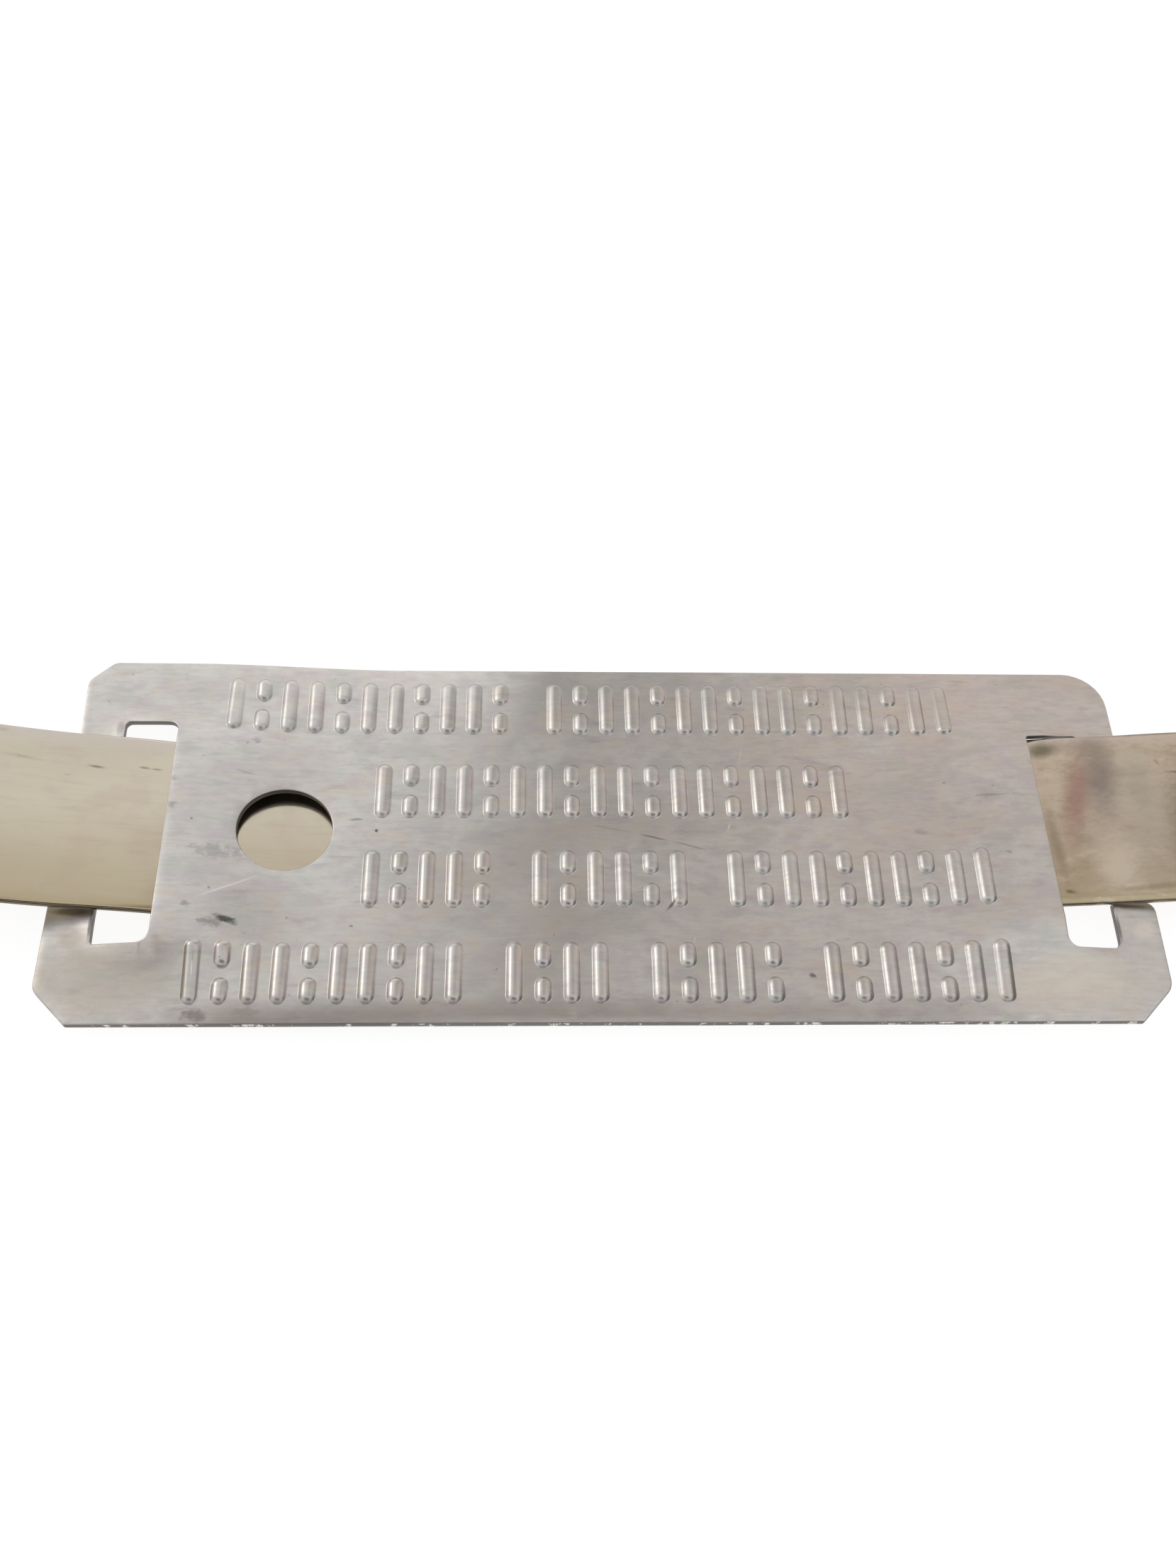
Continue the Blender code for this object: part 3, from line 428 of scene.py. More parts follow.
def sheared_aluminium():
    """The label's cut edge: torn and dull, its grey deepened by painted shade, with short
    burnished patches on the front edge that catch the light."""
    finish, tree, shader = new_material("sheared_aluminium_edge")
    torn = grain(tree, (1.1, 1.1, 0.6), 3.0, 0.7)
    spot = add(tree, "ShaderNodeSeparateXYZ", {0: millimetres(tree)})
    bright = between(tree, torn, 0.54, 0.64)
    bright = calculate(tree, "MULTIPLY", bright, between(tree, spot.outputs["Y"], -15.0, -15.8))
    # The cut edge's dark grey is partly torn metal and partly painted shade
    tone = blend_colour(tree, bright, srgb("7A7673"), srgb("D2CEC9"))
    tree.links.new(tone, shader.inputs["Base Color"])
    shader.inputs["Metallic"].default_value = 1.0
    tree.links.new(between(tree, bright, 0.0, 1.0, 0.55, 0.25), shader.inputs["Roughness"])
    tree.links.new(bump(tree, torn, 0.02, 0.4), shader.inputs["Normal"])
    return finish


def tinned_brass():
    """Tin on rolled brass strip: smooth and semi-gloss, pale champagne, with the faintest
    lengthwise lines, a few dark drag marks, and brass showing towards the rolled edges; painted
    shade darkens it towards its front edge, painted light lifts it towards its rear edge, and painted
    reflections lie on its part right of the label."""
    finish, tree, shader = new_material("tinned_brass_strip")
    lines = grain(tree, (0.12, 2.2, 1.0), 3.0, 0.6)
    clouds = grain(tree, (0.06, 0.16, 0.1), 2.0)
    patches = grain(tree, (0.28, 0.30, 0.3), 3.0, 0.55)
    tone = blend_colour(tree, between(tree, clouds, 0.3, 0.7), srgb("C2B9A7"), srgb("C9C1AE"))
    tone = blend_colour(tree, between(tree, patches, 0.44, 0.68, 0.0, 0.55), tone, srgb("C0B0A2"))
    tone = blend_colour(tree, between(tree, lines, 0.45, 0.75, 0.0, 0.14), tone, srgb("9F947F"))
    spot = add(tree, "ShaderNodeSeparateXYZ", {0: millimetres(tree)})
    across = calculate(tree, "ADD", spot.outputs["Y"], between(tree, patches, 0, 1, -0.35, 0.35))
    # Across the strap: darker towards the front edge, painted shade; an olive band by the front rolled
    # edge, brass through worn tin with painted shade; lighter towards the rear edge, painted light; a dark
    # line on the front cut edge, painted shade
    edge = STRAP_WIDTH / 2
    front = between(tree, across, 3.2, 0.8 - edge, 0.0, 0.62)
    tone = blend_colour(tree, front, tone, srgb("A8997C"))
    rolled = between(tree, across, 1.3 - edge, 0.45 - edge, 0.0, 0.55)
    tone = blend_colour(tree, rolled, tone, srgb("A99B7B"))
    painted_rear_light = between(tree, across, edge - 2.0, edge - 0.2, 0.0, 0.6)
    tone = blend_colour(tree, painted_rear_light, tone, srgb("C6BEB8"))
    cut = between(tree, spot.outputs["Y"], 0.2 - edge, 0.04 - edge, 0.0, 0.8)
    tone = blend_colour(tree, cut, tone, srgb("5B5249"))
    # Painted reflections: soft darker and lighter blotches on the part right of the label
    reflection_blotches = grain(tree, (0.5, 1.0, 0.5), 4.0, 0.65)
    reflection_share = between(tree, spot.outputs["X"], *PAINTED_REFLECTION_RAMP)
    dark_reflection = calculate(tree, "MULTIPLY", between(tree, reflection_blotches, 0.50, 0.70, 0.0, 0.40), reflection_share)
    tone = blend_colour(tree, dark_reflection, tone, srgb("958E78"))
    pale = calculate(tree, "MULTIPLY", between(tree, reflection_blotches, 0.48, 0.30, 0.0, 0.40), reflection_share)
    tone = blend_colour(tree, pale, tone, srgb("D6CEBC"))
    for start, end, width, ragged, share, code in STRAP_MARKS_AND_PAINTED_SHADING:
        mark = calculate(tree, "MULTIPLY", streak(tree, start, end, width, ragged, 0.9), share)
        tone = blend_colour(tree, mark, tone, srgb(code))
    tree.links.new(tone, shader.inputs["Base Color"])
    shader.inputs["Metallic"].default_value = 1.0
    rough = calculate(tree, "ADD", between(tree, lines, 0.2, 0.8, 0.13, 0.17, False),
                      between(tree, patches, 0.3, 0.7, -0.02, 0.03))
    tree.links.new(rough, shader.inputs["Roughness"])
    relief = calculate(tree, "ADD", calculate(tree, "MULTIPLY", lines, 0.12), patches)
    tree.links.new(bump(tree, relief, 0.012, 0.4), shader.inputs["Normal"])
    return finish


def worked_brass(name, light, dark, rough, lines_per_mm, tarnish):
    """Bare brass as pressed or turned: golden yellow, with tool lines in one direction and
    brown tarnish that gathers in cloudy patches."""
    finish, tree, shader = new_material(name)
    lines = grain(tree, lines_per_mm, 3.0, 0.6)
    clouds = grain(tree, (0.25, 0.25, 0.25), 4.0)
    tone = blend_colour(tree, between(tree, lines, 0.3, 0.75), srgb(light), srgb(dark))
    tone = blend_colour(tree, between(tree, clouds, 0.45, 0.75, 0.0, tarnish), tone, srgb("6E5630"))
    tree.links.new(tone, shader.inputs["Base Color"])
    shader.inputs["Metallic"].default_value = 1.0
    blotch = between(tree, clouds, 0.3, 0.75, rough - 0.05, rough + 0.12)
    tree.links.new(blotch, shader.inputs["Roughness"])
    tree.links.new(bump(tree, lines, 0.012, 0.5), shader.inputs["Normal"])
    return finish


def zinc_plated_steel():
    """Bright zinc on spring steel: cold grey with a faint crystalline mottle."""
    finish, tree, shader = new_material("zinc_plated_steel")
    mottle = grain(tree, (1.6, 1.6, 1.6), 3.0)
    tone = blend_colour(tree, between(tree, mottle, 0.3, 0.7), srgb("A9ADB0"), srgb("C7CACB"))
    tree.links.new(tone, shader.inputs["Base Color"])
    shader.inputs["Metallic"].default_value = 1.0
    tree.links.new(between(tree, mottle, 0.2, 0.8, 0.24, 0.40), shader.inputs["Roughness"])
    tree.links.new(bump(tree, mottle, 0.008, 0.4), shader.inputs["Normal"])
    return finish


def ramp(value, low, high):
    """0 below low, 1 above high and a smooth rise between."""
    share = min(max((value - low) / (high - low), 0.0), 1.0)
    return share * share * (3 - 2 * share)


def label_bend(x, y):
    """How far the weave bends the label up at a point, in the label's own frame."""
    near_strap = 1 - ramp(abs(y), STRAP_WIDTH / 2, LABEL_DEPTH / 2 - LABEL_CHAMFER)
    lift = 0.0
    for inner, side, rise, fall in ((CLOSED_IN, -1, CLOSED_LIFT, CLOSED_FALL),
                                    (OPEN_IN, 1, OPEN_LIFT, OPEN_SLOT_WIDTH)):
        inside = ramp(side * x, side * inner - BEND_SPREAD, side * inner)
        past = ramp(side * x, side * inner, side * inner + fall)
        lift += near_strap * (rise * inside * (1 - past) + LUG_LIFT * past)
    back = ramp(y, STRAP_WIDTH / 2, LABEL_DEPTH / 2)
    end = 1 - ramp(x, CLOSED_IN, CLOSED_IN + CURL_SPREAD)
    wave = SHEET_WAVE * noise.noise(Vector((x * WAVES_PER_MM[0], y * WAVES_PER_MM[1], WAVE_SLICE)))
    return lift + CORNER_CURL * back * end + wave


def rounded_outline(corners, steps=8):
    """Points of a closed outline from (x, y, radius) corners, with arcs at the corners."""
    points = []
    for index, (x, y, radius) in enumerate(corners):
        here = Vector((x, y))
        if radius <= 0:
            points.append(here)
            continue
        back = (Vector(corners[index - 1][:2]) - here).normalized()
        ahead = (Vector(corners[(index + 1) % len(corners)][:2]) - here).normalized()
        half = back.angle(ahead) / 2
        centre = here + (back + ahead).normalized() * radius / math.sin(half)
        start = here + back * radius / math.tan(half) - centre
        end = here + ahead * radius / math.tan(half) - centre
        sweep = start.angle_signed(end)
        for step in range(steps + 1):
            points.append(centre + Matrix.Rotation(-sweep * step / steps, 2) @ start)
    return points


def label_outlines():
    """The label's outer outline with its open slot, its closed slot and its hole. Material
    lies to the left of each outline as it runs."""
    end = LABEL_LENGTH / 2
    side = LABEL_DEPTH / 2
    rear = side - REAR_TRIM
    head_end = -end + END_LEAN * 2
    tail_end = end - END_LEAN
    outer = rounded_outline((
        (-end, -side + LABEL_CHAMFER, HEAD_TIP_ROUND),
        (-end + LABEL_CHAMFER, -side, TIP_ROUND),
        (end - LABEL_CHAMFER, -side, TIP_ROUND),
        (end, -side + LABEL_CHAMFER, TAIL_TIP_ROUND),
        (end, MOUTH_FRONT, SLOT_ROUND),
        (OPEN_OUT, MOUTH_FRONT, NICK_ROUND),
        (OPEN_OUT, OPEN_SLOT_FRONT, OPEN_FRONT_ROUND),
        (OPEN_IN, OPEN_SLOT_FRONT - NICK_ROUND / 2, SLOT_ROUND),
        (OPEN_IN - OPEN_SLOT_SKEW, OPEN_SLOT_BACK, NICK_ROUND),
        (OPEN_OUT, OPEN_SLOT_BACK + OPEN_SLOT_SPLAY, NICK_ROUND),
        (OPEN_OUT, MOUTH_BACK, SLOT_ROUND),
        (tail_end, MOUTH_BACK, SLOT_ROUND),
        (tail_end, rear, LABEL_ROUND),
        (head_end + REAR_CHAMFER[0], rear, REAR_CHAMFER_ROUND),
        (head_end, rear - REAR_CHAMFER[1], REAR_CHAMFER_ROUND)))
    closed = rounded_outline((
        (CLOSED_OUT, CLOSED_SLOT_FRONT, NICK_ROUND),
        (CLOSED_OUT, CLOSED_SLOT_BACK, CLOSED_BACK_ROUND),
        (CLOSED_IN, CLOSED_SLOT_BACK - CLOSED_SLOT_SKEW, SLOT_ROUND),
        (CLOSED_IN, CLOSED_SLOT_FRONT, CLOSED_FRONT_ROUND)))
    steps = 72
    hole = []
    for step in range(steps):
        angle = 2 * math.pi * step / steps
        hole.append(Vector((HOLE_X + HOLE_RADIUS * math.cos(angle),
                            HOLE_Y - HOLE_RADIUS * HOLE_SQUASH * math.sin(angle))))
    return [subdivided(loop) for loop in (outer, closed, hole)]


def subdivided(loop):
    """A closed outline with extra points, so that no edge is longer than the bend's grid."""
    points = []
    for index, here in enumerate(loop):
        ahead = loop[(index + 1) % len(loop)]
        pieces = max(1, math.ceil((ahead - here).length / GRID_STEP))
        points += [here.lerp(ahead, piece / pieces) for piece in range(pieces)]
    return points


def moved_in(loop, distance):
    """A closed outline moved into the material, which lies on its left."""
    points = []
    for index, here in enumerate(loop):
        before = (here - loop[index - 1]).normalized()
        after = (loop[(index + 1) % len(loop)] - here).normalized()
        left = Vector((-before.y - after.y, before.x + after.x)).normalized()
        stretch = max(left.dot(Vector((-before.y, before.x))), MITRE_LIMIT)
        points.append(here + left * distance / stretch)
    return points


def bead_places():
    """Centre and length of each raised bead, row by row, up to the open slot."""
    limit = OPEN_IN - BEAD_MARGIN
    half = (BEAD_LENGTH - BEAD_SPLIT) / 2
    places = []
    for row, (start, words) in enumerate(BEAD_ROWS):
        y = ((len(BEAD_ROWS) - 1) / 2 - row) * BEAD_ROW_PITCH
        x = CLOSED_IN + start
        for count in words:
            for index in range(count):
                if x > limit:
                    break
                if index % BEAD_SPLIT_EVERY == 1:
                    places.append((x, y + (half + BEAD_SPLIT) / 2, half))
                    places.append((x, y - (half + BEAD_SPLIT) / 2, half))
                else:
                    places.append((x, y, BEAD_LENGTH))
                x += BEAD_PITCH
            x += BEAD_WORD_GAP - BEAD_PITCH + BEAD_WIDTH
    return places


def bead_rings(x, y, length):
    """Contours round one bead with their heights: a full round top, sharp at its foot."""
    half = length / 2 - BEAD_WIDTH / 2
    rings = []
    for share in BEAD_CONTOURS:
        radius = BEAD_REACH * share
        height = BEAD_HEIGHT * (1 - min(share, 1.0) ** BEAD_FULLNESS)
        ring = []
        for end, first in ((1, 0.0), (-1, math.pi)):
            for step in range(BEAD_END_STEPS + 1):
                angle = first + math.pi * step / BEAD_END_STEPS
                ring.append((x + radius * math.cos(angle), y + end * half + radius * math.sin(angle)))
        rings.append((ring, height))
    spine = [(x, y + half * share) for share in (-1.0, 0.0, 1.0)]
    return rings, spine


def label_surface(loops):
    """Triangles of the label's top face between outlines: (points, heights, triangles)."""
    points = []
    heights = []
    edges = []

    def close(ring, height):
        base = len(points)
        points.extend(Vector(p) for p in ring)
        heights.extend([height] * len(ring))
        edges.extend((base + i, base + (i + 1) % len(ring)) for i in range(len(ring)))

    for loop in loops:
        close(loop, 0.0)
    keep_clear = []
    for x, y, length in bead_places():
        rings, spine = bead_rings(x, y, length)
        for ring, height in rings:
            close(ring, height)
        points.extend(Vector(p) for p in spine)
        heights.extend([BEAD_HEIGHT] * len(spine))
        keep_clear.append((x, y, length / 2 + BEAD_WIDTH / 2))
    for column in range(int(LABEL_LENGTH / GRID_STEP)):
        for row in range(int(LABEL_DEPTH / GRID_STEP)):
            x = (column + 0.5) * GRID_STEP - LABEL_LENGTH / 2
            y = (row + 0.5) * GRID_STEP - LABEL_DEPTH / 2
            on_bead = any(abs(x - bx) < BEAD_WIDTH and abs(y - by) < reach for bx, by, reach in keep_clear)
            if not on_bead:
                points.append(Vector((x, y)))
                heights.append(0.0)
    spots, _, triangles, sources, *_ = geometry.delaunay_2d_cdt(points, edges, [], 0, WELD)
    tall = [heights[source[0]] if source else 0.0 for source in sources]
    kept = []
    for face in triangles:
        middle = sum((spots[i] for i in face), Vector((0, 0))) / len(face)
        if inside(middle, loops[0]) and not any(inside(middle, hole) for hole in loops[1:]):
            kept.append(tuple(face))
    return spots, tall, kept


def inside(point, loop):
    """Whether a point lies within a closed outline."""
    found = False
    for index, here in enumerate(loop):
        before = loop[index - 1]
        if (here.y > point.y) != (before.y > point.y):
            cross = before.x + (point.y - before.y) / (here.y - before.y) * (here.x - before.x)
            if point.x < cross:
                found = not found
    return found


def make_label():
    """The label with its bends, rolled rim and beads, whose hollows show on its back."""
    outlines = label_outlines()
    rims = [moved_in(loop, RIM_ROLL) for loop in outlines]
    spots, tall, triangles = label_surface(rims)
    bm = bmesh.new()
    base = LABEL_TOP - LABEL_THICK

    def lay(x, y, height):
        return bm.verts.new((x, y, height + label_bend(x, y)))

    top = [lay(p.x, p.y, LABEL_TOP + h) for p, h in zip(spots, tall)]
    under = [lay(p.x, p.y, base + h * HOLLOW_SHARE) for p, h in zip(spots, tall)]
    for face in triangles:
        bm.faces.new([top[i] for i in face])
        bm.faces.new([under[i] for i in reversed(face)])
    first = 0
    for loop in outlines:
        count = len(loop)
        upper = top[first:first + count]
        lower = under[first:first + count]
        rings = [upper]
        for part in range(1, RIM_STEPS + 1):
            angle = math.pi / 2 * part / RIM_STEPS
            out = moved_in(loop, RIM_ROLL * (1 - math.sin(angle)))
            rings.append([lay(p.x, p.y, LABEL_TOP - RIM_ROLL * (1 - math.cos(angle))) for p in out])
        rings.append([lay(p.x, p.y, base + LOWER_RIM) for p in loop])
        rings.append([lay(p.x, p.y, base) for p in moved_in(loop, LOWER_RIM)])
        rings.append(lower)
        for step, (near, far) in enumerate(zip(rings, rings[1:])):
            for i in range(count):
                j = (i + 1) % count
                wall = bm.faces.new((near[i], far[i], far[j], near[j]))
                wall.material_index = 1 if step > 1 else 0
        first += count
    loose = [vert for vert in bm.verts if not vert.link_faces]
    bmesh.ops.delete(bm, geom=loose, context="VERTS")
    bmesh.ops.recalc_face_normals(bm, faces=bm.faces)
    place = Matrix.Translation((0, LABEL_SHIFT_Y * MM, 0)) @ Matrix.Rotation(LABEL_YAW, 4, "Z")
    label = piece("label_plate", bm, "label_plate", mill_aluminium(), "mill_aluminium",
                  sharp=55, place=place)
    label.data.materials.append(sheared_aluminium())
    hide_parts("label")


def piece(name, bm, body, finish, slot, sharp, place=Matrix()):
    """Turn a bmesh in millimetres into a piece that rides on a body. Edges that turn by more
    than the sharp angle, in degrees, stay crisp."""
    bmesh.ops.scale(bm, vec=(MM, MM, MM), verts=bm.verts)
    mesh = bpy.data.meshes.new(name)
    bm.to_mesh(mesh)
    bm.free()
    mesh.materials.append(finish)
    mesh.shade_smooth()
    mesh.set_sharp_from_angle(angle=math.radians(sharp))
    made = bpy.data.objects.new(name, mesh)
    made.matrix_world = place
    bpy.context.scene.collection.objects.link(made)
    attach(made, body)
    return made


def strap_knots():
    """Underside of the strap: (x, height, slope) from the head to the free end. It lies bent
    over the closed slot's lug, dips below the label and comes up through the open slot."""
    under = LABEL_TOP - LABEL_THICK - SLOT_CLEAR - STRAP_THICK
    over = LABEL_TOP + LUG_LIFT + LUG_CLEAR
    out = LABEL_TOP + LUG_LIFT + TAIL_CLEAR
    rise = (out - under - OPEN_LIFT) / OPEN_SLOT_WIDTH
    run = CLOSED_OUT - PIN_X
    return [
        (PIN_X, STRAP_HEAD_RISE, 0.0),
        (PIN_X + STRAP_FOLD_RUN, STRAP_HEAD_RISE, 0.0),
        (CLOSED_OUT - run / 4, over + HEAD_BEND[0], HEAD_BEND[1]),
        (CLOSED_OUT - LUG_BEND_RUN, over + LUG_BEND[0], LUG_BEND[1]),
        (CLOSED_OUT, over, LUG_SLOPE),
        (CLOSED_IN, under + CLOSED_LIFT, DIP_SLOPE),
        (HOLE_X, *HOLE_DIP),
        (HOLE_X + WEAVE_RUN, 0.0, 0.0),
        (OPEN_IN - WEAVE_RUN, 0.0, 0.0),
        (OPEN_IN, under + OPEN_LIFT, rise),
        (OPEN_OUT, out, rise),
        (OPEN_OUT + TAIL_CREST, STRAP_TAIL_ARCH, 0.0),
        (OPEN_OUT + TAIL_LANDING, 0.0, 0.0),
        (OPEN_OUT + STRAP_TAIL, 0.0, 0.0),
    ]


def strap_path():
    """Middle line of the strap in X and Z: folded end, loop round the pin, then the run."""
    half = STRAP_THICK / 2
    loop = PIN_RADIUS + CLEAR + half
    lie = STRAP_HEAD_RISE + STRAP_THICK + CLEAR + half
    touch = PIN_X + LOOP_EXIT * loop
    fold_end = PIN_X + STRAP_FOLD_RUN
    steps = 6
    path = [(fold_end + (touch - fold_end) * step / steps, lie) for step in range(steps + 1)]
    drop = PIN_Z + loop - lie
    steps = 12
    for step in range(1, steps):
        share = step / steps
        path.append((touch + (PIN_X - touch) * share, lie + drop * ramp(share, 0, 1)))
    turns = 28
    for step in range(turns):
        angle = math.pi / 2 + math.pi * step / turns
        path.append((PIN_X + loop * math.cos(angle), PIN_Z + loop * math.sin(angle)))
    knots = strap_knots()
    for (x0, z0, s0), (x1, z1, s1) in zip(knots, knots[1:]):
        run = x1 - x0
        pieces = 12
        for step in range(pieces):
            t = step / pieces
            rise = (2 * t ** 3 - 3 * t ** 2 + 1) * z0 + (t ** 3 - 2 * t ** 2 + t) * run * s0
            rise += (3 * t ** 2 - 2 * t ** 3) * z1 + (t ** 3 - t ** 2) * run * s1
            path.append((x0 + run * t, rise + half))
    end_x, end_z = knots[-1][0], knots[-1][1] + half
    near_end = end_x - STRAP_TAIL_ROUND
    path = [p for p in path if p[0] <= near_end]
    steps = 8
    for step in range(steps + 1):
        share = math.sin(math.pi / 2 * step / steps)
        path.append((near_end + STRAP_TAIL_ROUND * share, end_z))
    return path


def strap_section(width):
    """The strip's section across it: flat faces with rolled edges, as (across, up) points."""
    half = width / 2 - STRAP_EDGE
    high = STRAP_THICK / 2 - STRAP_EDGE
    steps = 4
    points = []
    for across, up, first in ((half, high, 0), (-half, high, 90), (-half, -high, 180), (half, -high, 270)):
        held = math.copysign(half - STRAP_HOLD, across)
        face = math.copysign(STRAP_THICK / 2, up)
        if first in (90, 270):
            points.append((held, face))
        for step in range(steps + 1):
            angle = math.radians(first + 90 / steps * step)
            points.append((across + STRAP_EDGE * math.cos(angle), up + STRAP_EDGE * math.sin(angle)))
        if first in (0, 180):
            points.append((held, face))
    return points


def make_strap():
    """The strap, swept along its path with rolled edges and rounded corners at its free end."""
    path = strap_path()
    end_x = path[-1][0]
    bm = bmesh.new()
    rings = []
    for index, (x, z) in enumerate(path):
        before = Vector(path[max(index - 1, 0)])
        after = Vector(path[min(index + 1, len(path) - 1)])
        along = (after - before).normalized()
        normal = Vector((-along.y, along.x))
        width = STRAP_WIDTH
        left = end_x - x
        on_tail = z < STRAP_THICK and x > 0
        if on_tail and left < STRAP_TAIL_ROUND:
            short = STRAP_TAIL_ROUND - left
            width -= 2 * (STRAP_TAIL_ROUND - math.sqrt(max(STRAP_TAIL_ROUND ** 2 - short ** 2, 0.0)))
        ring = []
        for across, up in strap_section(width):
            ring.append(bm.verts.new((x + normal.x * up, across, z + normal.y * up)))
        rings.append(ring)
    count = len(rings[0])
    for near, far in zip(rings, rings[1:]):
        for i in range(count):
            j = (i + 1) % count
            bm.faces.new((near[i], near[j], far[j], far[i]))
    bm.faces.new(rings[0])
    bm.faces.new(list(reversed(rings[-1])))
    bmesh.ops.recalc_face_normals(bm, faces=bm.faces)
    strap = piece("strap_strip", bm, "strap_body", tinned_brass(), "tinned_brass", sharp=50)
    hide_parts("strap")


def thread(node, sizes, body, finish):
    """The raised turns of a screw's thread on its plain CAD shank, faded out at both ends."""
    near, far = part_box(node)
    middle = (near + far) / 2 / MM
    core, crest, pitch, above_tip, below_top = sizes
    low = near.z / MM + above_tip
    high = far.z / MM - below_top
    rows = int((high - low) / pitch * ROWS_PER_TURN)
    bm = bmesh.new()
    rings = []
    for row in range(rows + 1):
        z = low + (high - low) * row / rows
        fade = ramp(z, low, low + pitch) * (1 - ramp(z, high - pitch, high))
        ring = []
        for step in range(THREAD_STEPS):
            share = (z / pitch - step / THREAD_STEPS) % 1.0
            ridge = 1 - abs(2 * share - 1)
            radius = core - THREAD_SINK + (crest - core + THREAD_SINK) * ramp(ridge, *THREAD_FLANK) * fade
            angle = 2 * math.pi * step / THREAD_STEPS
            ring.append(bm.verts.new((middle.x + radius * math.cos(angle),
                                      middle.y + radius * math.sin(angle), z)))
        rings.append(ring)
    for lower, upper in zip(rings, rings[1:]):
        for i in range(THREAD_STEPS):
            j = (i + 1) % THREAD_STEPS
            bm.faces.new((lower[i], lower[j], upper[j], upper[i]))
    bm.faces.new(list(reversed(rings[0])))
    bm.faces.new(rings[-1])
    piece(node + "_thread", bm, body, finish, "turned_brass", sharp=80)


def dress_node(name, finish, bevel=0.0):
    """Give a CAD node its finish, smooth shading and softened edges."""
    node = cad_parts[name]
    node.data.materials.clear()
    node.data.materials.append(finish)
    node.data.shade_smooth()
    node.data.set_sharp_from_angle(angle=SHARP_ANGLE)
    if bevel:
        edge = node.modifiers.new("edge", "BEVEL")
        edge.width = bevel * MM
        edge.segments = 2
        edge.limit_method = "ANGLE"
        edge.angle_limit = SHARP_ANGLE
        edge.harden_normals = True


def make_head():
    """Finish the clamp head's pieces and cut the screws' threads."""
    pressed = worked_brass("pressed_brass", "C9A864", "BB9852", rough=0.34,
                           lines_per_mm=(0.3, 5.0, 5.0), tarnish=0.45)
    turned = worked_brass("turned_brass", "D8BC78", "C6A55E", rough=0.24,
                          lines_per_mm=(0.6, 0.6, 9.0), tarnish=0.25)
    zinc = zinc_plated_steel()
    for name in ("clamp_body", "pressure_pad", "terminal_plate"):
        dress_node(name, pressed)
    for name in ("anchor_pin", "tail_pin", "strap_rivet", "tension_screw", "lock_nut", "terminal_screw"):
        dress_node(name, turned, SOFT_EDGE)
    for name in ("lock_washer", "terminal_washer"):
        dress_node(name, zinc, SOFT_EDGE)
    thread("tension_screw", TENSION_THREAD, "tension", turned)
    thread("terminal_screw", TERMINAL_THREAD, "terminal", turned)


def empty_tree(owner):
    """The node tree of a material or world, cleared."""
    owner.use_nodes = True
    owner.node_tree.nodes.clear()
    return owner.node_tree


def seen_share(tree):
    """1 for rays that come from the camera, from a reflection or through glass, else 0."""
    path = add(tree, "ShaderNodeLightPath")
    seen = calculate(tree, "ADD", path.outputs["Is Camera Ray"], path.outputs["Is Glossy Ray"])
    seen = calculate(tree, "ADD", seen, path.outputs["Is Transmission Ray"])
    return calculate(tree, "MINIMUM", seen, 1.0)


def facing(centre, size, aim):
    """Corners of an upright rectangle that faces a point."""
    turn = (Vector(aim) - Vector(centre)).to_track_quat("Z", "Y").to_matrix()
    half = Vector((size[0] / 2, size[1] / 2))
    return [Vector(centre) + turn @ Vector((x * half.x, y * half.y, 0))
            for x, y in ((-1, -1), (1, -1), (1, 1), (-1, 1))]


def card(name, corners, tones, low_tones=None, levels=(0.0, 1.0), strength=1.0):
    """A card that only reflections see, with tones at stops along X. Its foot may have tones
    of its own, which give way to the others between two levels."""
    mesh = bpy.data.meshes.new(name)
    mesh.from_pydata([tuple(corner) for corner in corners], [], [(0, 1, 2, 3)])
    board = bpy.data.objects.new(name, mesh)
    bpy.context.scene.collection.objects.link(board)
    finish = bpy.data.materials.new(name)
    tree = empty_tree(finish)
    spot = add(tree, "ShaderNodeSeparateXYZ", {0: add(tree, "ShaderNodeTexCoord").outputs["Object"]})

    def shaded(stops):
        tone = srgb(stops[0][1])
        for (start, _), (end, code) in zip(stops, stops[1:]):
            tone = blend_colour(tree, between(tree, spot.outputs["X"], start, end), tone, srgb(code))
        return tone

    tone = shaded(tones)
    if low_tones:
        tone = blend_colour(tree, between(tree, spot.outputs["Z"], *levels), shaded(low_tones), tone)
    glow = add(tree, "ShaderNodeEmission", {"Color": tone, "Strength": strength})
    add(tree, "ShaderNodeOutputMaterial", {"Surface": glow.outputs[0]})
    mesh.materials.append(finish)
    board.visible_camera = False
    board.visible_diffuse = False
    board.visible_shadow = False


def make_floor():
    """A white floor that keeps the object's shadow."""
    mesh = bpy.data.meshes.new("floor")
    bm = bmesh.new()
    bmesh.ops.create_grid(bm, x_segments=1, y_segments=1, size=FLOOR_REACH)
    bmesh.ops.translate(bm, vec=(0, 0, -FLOOR_DROP), verts=bm.verts)
    bm.to_mesh(mesh)
    bm.free()
    floor = bpy.data.objects.new("floor", mesh)
    bpy.context.scene.collection.objects.link(floor)
    finish = bpy.data.materials.new("white_floor")
    tree = empty_tree(finish)
    paint = add(tree, "ShaderNodeBsdfDiffuse", {"Color": srgb("929292")})
    shine = calculate(tree, "MULTIPLY", seen_share(tree), FLOOR_GLOW)
    glow = add(tree, "ShaderNodeEmission", {"Strength": shine})
    both = add(tree, "ShaderNodeAddShader", {0: paint.outputs[0], 1: glow.outputs[0]})
    add(tree, "ShaderNodeOutputMaterial", {"Surface": both.outputs[0]})
    mesh.materials.append(finish)


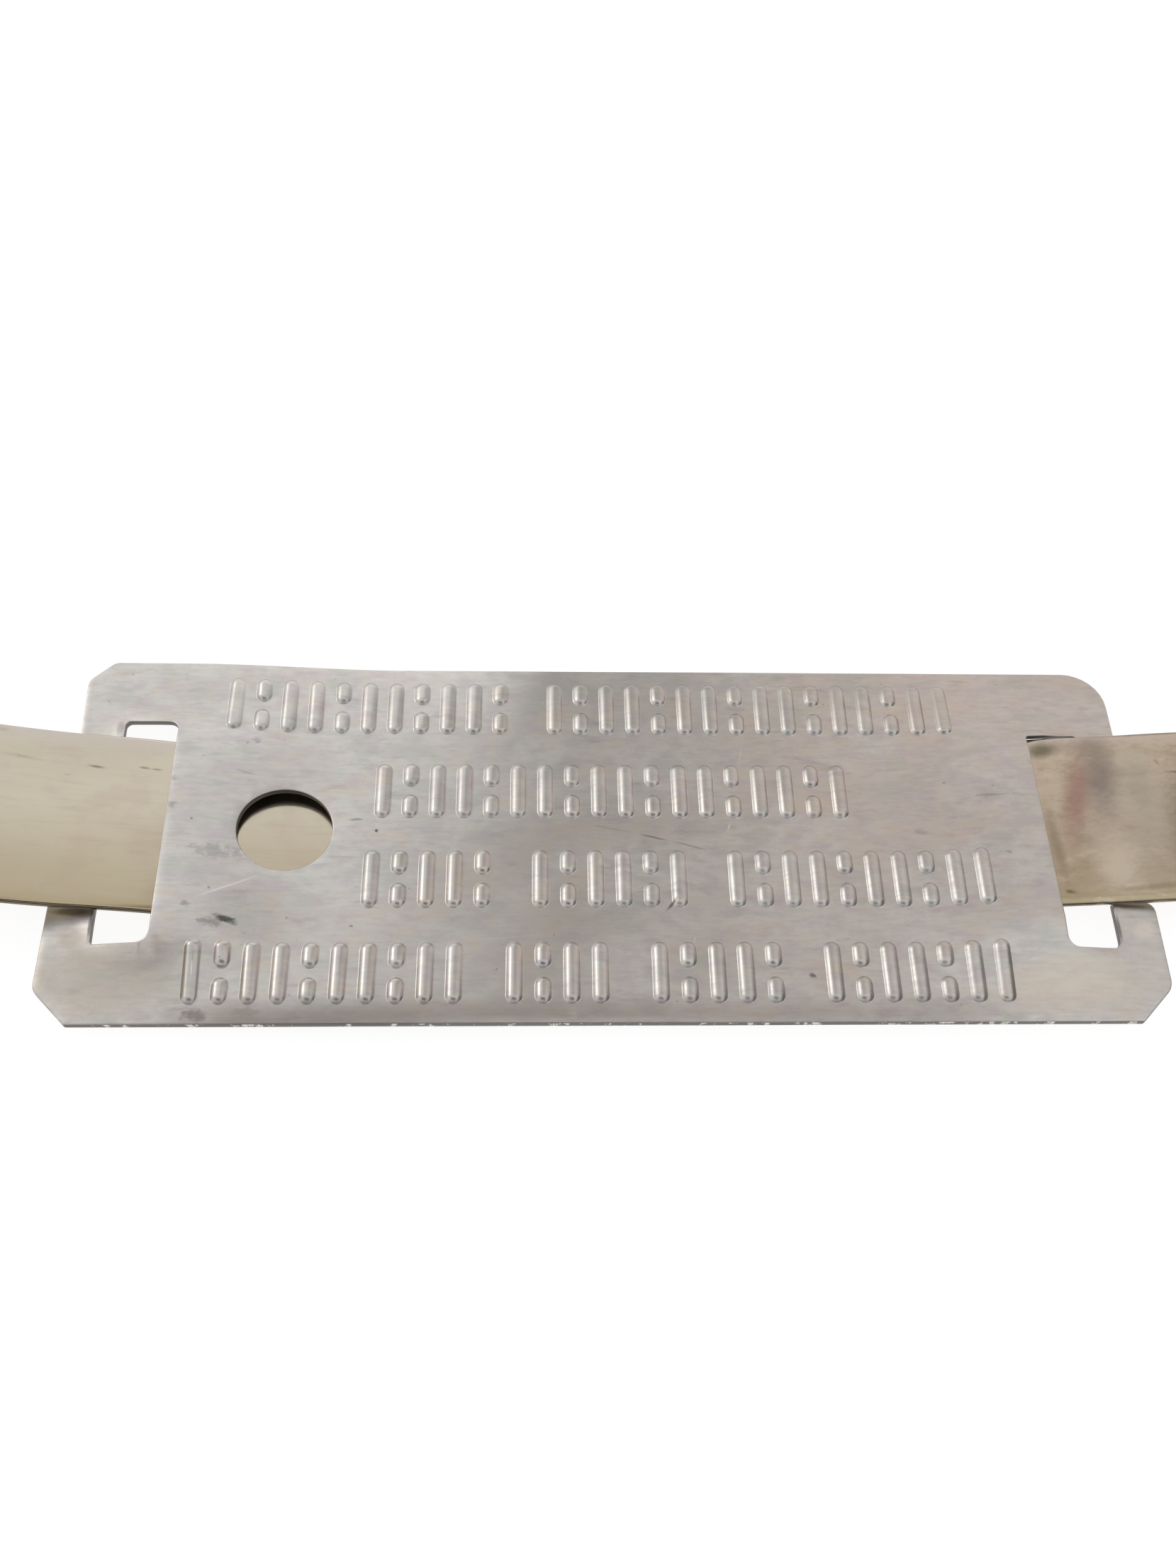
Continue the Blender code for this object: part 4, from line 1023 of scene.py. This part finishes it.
def make_light():
    """A white room and a soft lamp to the left."""
    world = bpy.data.worlds.new("white_room")
    bpy.context.scene.world = world
    tree = empty_tree(world)
    level = between(tree, seen_share(tree), 0.0, 1.0, ROOM_LEVEL, 1.0, False)
    sky = add(tree, "ShaderNodeBackground", {"Color": srgb("FFFFFF"), "Strength": level})
    add(tree, "ShaderNodeOutputWorld", {"Surface": sky.outputs[0]})
    lamp = bpy.data.lights.new("window", "AREA")
    lamp.shape = "RECTANGLE"
    lamp.size, lamp.size_y = LAMP_SIZE
    lamp.energy = LAMP_POWER
    lamp.color = srgb("FFF8F0")[:3]
    window = bpy.data.objects.new("window", lamp)
    window.location = LAMP_PLACE
    window.rotation_mode = "QUATERNION"
    window.rotation_quaternion = (-Vector(window.location)).to_track_quat("-Z", "Y")
    bpy.context.scene.collection.objects.link(window)


def make_cards():
    """The cards that the label, the strap and the head mirror. Places are in metres."""
    card("flag_behind",
         ((-0.004, 0.025, 0.005), (0.052, 0.025, 0.005), (0.052, 0.025, 0.145), (-0.035, 0.025, 0.145)),
         ((-0.004, "B9B4AF"), (0.026, "D6CBC6"), (0.050, "DFD5D0")),
         ((-0.008, "C4C3BF"), (0.006, "D1CFCC"), (0.022, "E9E0DA"), (0.034, "F6ECE8"), (0.052, "F2E8E2")),
         (0.024, 0.066))
    card("flag_low",
         ((0.052, 0.025, 0.005), (0.120, 0.025, 0.005), (0.120, 0.025, 0.075), (0.052, 0.025, 0.075)),
         ((0.052, "DFD5D0"), (0.110, "D6CEC8")),
         ((0.052, "F2E8E2"), (0.080, "EBE1DB")),
         (0.030, 0.066))
    card("panel_left",
         ((-0.042, 0.026, 0.003), (-0.010, 0.026, 0.003), (-0.010, 0.026, 0.023), (-0.042, 0.026, 0.023)),
         ((0, "FFFEFC"),), strength=1.2)
    card("flag_camera", facing((-0.02, -0.085, 0.150), (0.16, 0.09), (0, 0, 0)), ((0, "5C5957"),))
    card("flag_front", facing((0.0, -0.45, 0.12), (1.2, 0.24), (0, 0, 0.06)), ((0, "6F6C6A"),))
    card("flag_right", facing((0.62, -0.05, 0.20), (0.9, 0.38), (0, 0, 0.05)), ((0, "5F5C5A"),))


def make_camera():
    """The camera where the photograph was taken from, over the label."""
    data = bpy.data.cameras.new("camera")
    data.lens = CAMERA_LENS
    data.sensor_width = LONG_SIDE_SENSOR
    data.clip_start = CAMERA_CLIP
    camera = bpy.data.objects.new("camera", data)
    turn = Matrix.Rotation(LABEL_YAW, 4, "Z")
    shift = Vector((0, LABEL_SHIFT_Y, LABEL_TOP))
    place = (turn @ Vector(CAMERA_PLACE) + shift) * MM
    aim = (turn @ Vector(CAMERA_AIM) + shift) * MM
    look = (aim - place).to_track_quat("-Z", "Y").to_matrix().to_4x4()
    roll = Matrix.Rotation(CAMERA_ROLL, 4, "Z")
    camera.matrix_world = Matrix.Translation(place) @ look @ roll
    bpy.context.scene.collection.objects.link(camera)
    bpy.context.scene.camera = camera


def main():
    """Camera, surroundings and pieces."""
    bpy.context.scene.view_settings.view_transform = "Standard"
    make_camera()
    make_floor()
    make_light()
    make_cards()
    make_label()
    make_strap()
    make_head()


main()
